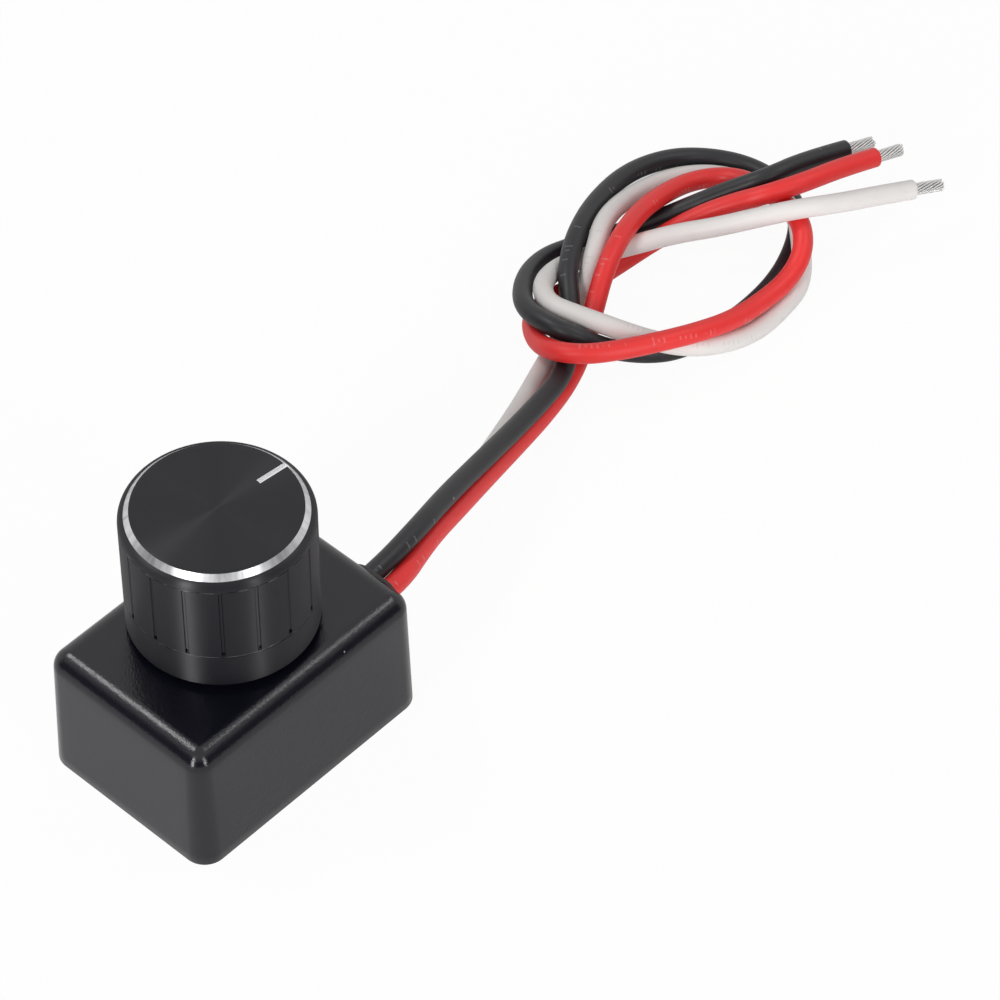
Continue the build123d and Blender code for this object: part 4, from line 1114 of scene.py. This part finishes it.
WHITE_ROUTE: tuple[Point, ...] = (
    (11.0, -5.3, 10.4), (18.0, -4.7, 9.7), (25.0, -2.0, 7.5), (32.0, 0.9, 5.4), (39.0, 3.5, 3.4),
    (46.0, 6.1, 1.9), (52.8, 8.4, 1.2), (58.8, 10.6, 1.2), (64.1, 12.5, 1.2), (68.3, 14.0, 1.7),
    (70.9, 14.8, 3.6), (73.4, 16.0, 5.6), (77.9, 18.7, 5.6), (85.0, 20.8, 2.8), (91.1, 20.6, 1.3),
    (94.9, 17.8, 1.2), (96.9, 13.9, 1.2), (96.9, 9.5, 2.4), (94.6, 4.2, 3.8), (91.5, 0.8, 3.4),
    (88.4, -2.0, 1.4), (84.3, -2.8, 1.2), (79.2, -3.2, 1.4), (74.9, -2.4, 2.2), (71.2, -0.8, 3.2),
    (68.7, 1.9, 3.9), (66.6, 4.6, 5.0), (64.7, 7.4, 6.2), (63.8, 10.7, 6.1), (63.2, 14.0, 5.9),
    (65.4, 17.0, 5.2), (70.2, 18.9, 3.1), (74.2, 17.6, 2.9), (77.2, 14.9, 3.9), (82.0, 11.6, 4.8),
    (85.0, 8.1, 6.0), (88.0, 4.7, 7.6), (91.2, 1.4, 8.9), (95.7, -1.0, 8.2), (100.6, -2.9, 7.2),
    (104.6, -4.5, 6.3),
)
RED_ROUTE: tuple[Point, ...] = (
    (11.0, -6.5, 12.8), (17.5, -6.5, 12.0), (25.9, -3.0, 9.9), (32.7, -0.9, 7.8), (39.5, 1.3, 5.6),
    (46.1, 3.3, 3.6), (53.0, 5.2, 2.0), (59.3, 7.1, 1.2), (64.4, 9.4, 1.6), (68.3, 11.4, 3.6),
    (71.2, 12.7, 5.9), (75.8, 14.5, 6.8), (82.4, 16.9, 5.1), (89.1, 17.6, 3.3), (92.9, 16.5, 2.7),
    (95.0, 13.9, 3.1), (95.1, 10.1, 4.0), (93.6, 5.4, 5.6), (91.9, 1.3, 6.4), (89.3, -1.3, 5.4),
    (85.9, -2.1, 4.0), (81.2, -2.1, 3.8), (76.0, -2.0, 4.6), (71.1, -0.9, 5.6), (67.0, 0.8, 6.1),
    (63.1, 2.9, 6.3), (59.7, 5.2, 6.5), (58.1, 8.4, 6.0), (59.5, 12.4, 3.7), (62.9, 16.3, 2.2),
    (67.6, 17.6, 1.2), (72.2, 15.8, 1.2), (76.9, 15.4, 1.2), (81.9, 14.4, 2.0), (86.2, 12.4, 3.8),
    (89.2, 9.7, 5.6), (91.3, 6.3, 7.8), (95.3, 4.2, 8.2), (101.2, 3.2, 7.2), (105.9, 2.1, 6.2),
)

BLACK_SLEEVE = PrintedSleeve(
    "black silicone sleeve", (0.012, 0.012, 0.0145), roughness=0.42, gloss_variation=0.06, variation=0.12,
    bump=0.3, bump_height=0.012 * MM, fine_scale=3500.0, coarse_scale=500.0, specular=0.42, speck=0.25,
    ink=(0.2, 0.2, 0.21), ink_strength=0.45,
)
WHITE_SLEEVE = replace(
    BLACK_SLEEVE, name="white silicone sleeve", colour=(0.82, 0.79, 0.77), roughness=0.45, variation=0.04,
    specular=0.45, speck=0.0, ink=(0.42, 0.4, 0.4), ink_strength=0.2,
)
RED_SLEEVE = replace(
    BLACK_SLEEVE, name="red silicone sleeve", colour=(0.84, 0.032, 0.031), variation=0.06, specular=0.45,
    speck=0.0, ink=(0.75, 0.5, 0.48), ink_strength=0.2,
)
WIRES = (
    Wire(WireColour.BLACK, BLACK_ROUTE, 0.21, BLACK_SLEEVE),
    Wire(WireColour.WHITE, WHITE_ROUTE, 0.204, WHITE_SLEEVE),
    Wire(WireColour.RED, RED_ROUTE, 0.204, RED_SLEEVE),
)


# The pieces that keep their solids


@dataclass
class InnerParts:
    """The control, the board and its components, the core, the seal and the resin."""

    finishes: tuple[tuple[str, Finish], ...] = (
        ("core_plastic", Finish("black moulded core", (0.02, 0.02, 0.022), 0.5, bump=0.4)),
        ("shaft_metal", Finish("turned steel shaft", (0.55, 0.55, 0.56), 0.32, 1.0, bump=0.2)),
        ("spring_steel", Finish("dark spring steel", (0.2, 0.2, 0.21), 0.38, 1.0, bump=0.2)),
        ("bushing_metal", Finish("nickelled brass", (0.62, 0.58, 0.5), 0.3, 1.0, bump=0.2)),
        ("can_steel", Finish("zinc plated steel", (0.58, 0.6, 0.6), 0.4, 1.0, coarse_scale=700.0)),
        ("phenolic", Finish("brown phenolic board", (0.16, 0.075, 0.03), 0.55, variation=0.3)),
        ("carbon_track", Finish("carbon track", (0.018, 0.018, 0.018), 0.6)),
        ("tinned_metal", Finish("tinned joint", (0.6, 0.6, 0.59), 0.35, 1.0, coarse_scale=900.0)),
        ("contact_metal", Finish("spring bronze", (0.65, 0.42, 0.25), 0.35, 1.0, bump=0.2)),
        ("board_laminate", Finish("green board lacquer", (0.02, 0.11, 0.05), 0.35, variation=0.2)),
        ("chip_plastic", Finish("black moulding compound", (0.025, 0.025, 0.026), 0.55, bump=0.5)),
        ("capacitor_can", Finish("sleeved capacitor can", (0.05, 0.055, 0.09), 0.35)),
        ("potting_resin", Finish("black potting resin", (0.014, 0.014, 0.015), 0.28, bump=0.5,
                                 bump_height=0.08 * MM, coarse_scale=120.0, fine_scale=900.0)),
        ("seal_rubber", Finish("black seal rubber", (0.018, 0.018, 0.019), 0.6, bump=0.5)),
    )

    def build(self) -> None:
        """Gives each remaining solid the finish of its slot in the record."""
        by_slot = dict(self.finishes)
        for part in frame["record"]["subparts"]:
            finish = by_slot.get(part["material_slot"])
            if finish is None:
                continue
            solid = frame["nodes"][part["node"]]
            solid.data.materials.clear()
            solid.data.materials.append(finish.build())
        log.info("finished %d kinds of inner part", len(by_slot))


def main() -> None:
    """Builds the studio and every dressed piece."""
    logging.basicConfig(level=logging.INFO, format="%(name)s: %(message)s")
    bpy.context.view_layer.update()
    Studio().build()
    for wire in WIRES:
        wire.build()
    Housing().build()
    Knob().build()
    InnerParts().build()
    bpy.context.view_layer.update()


if __name__ == "__main__":
    main()
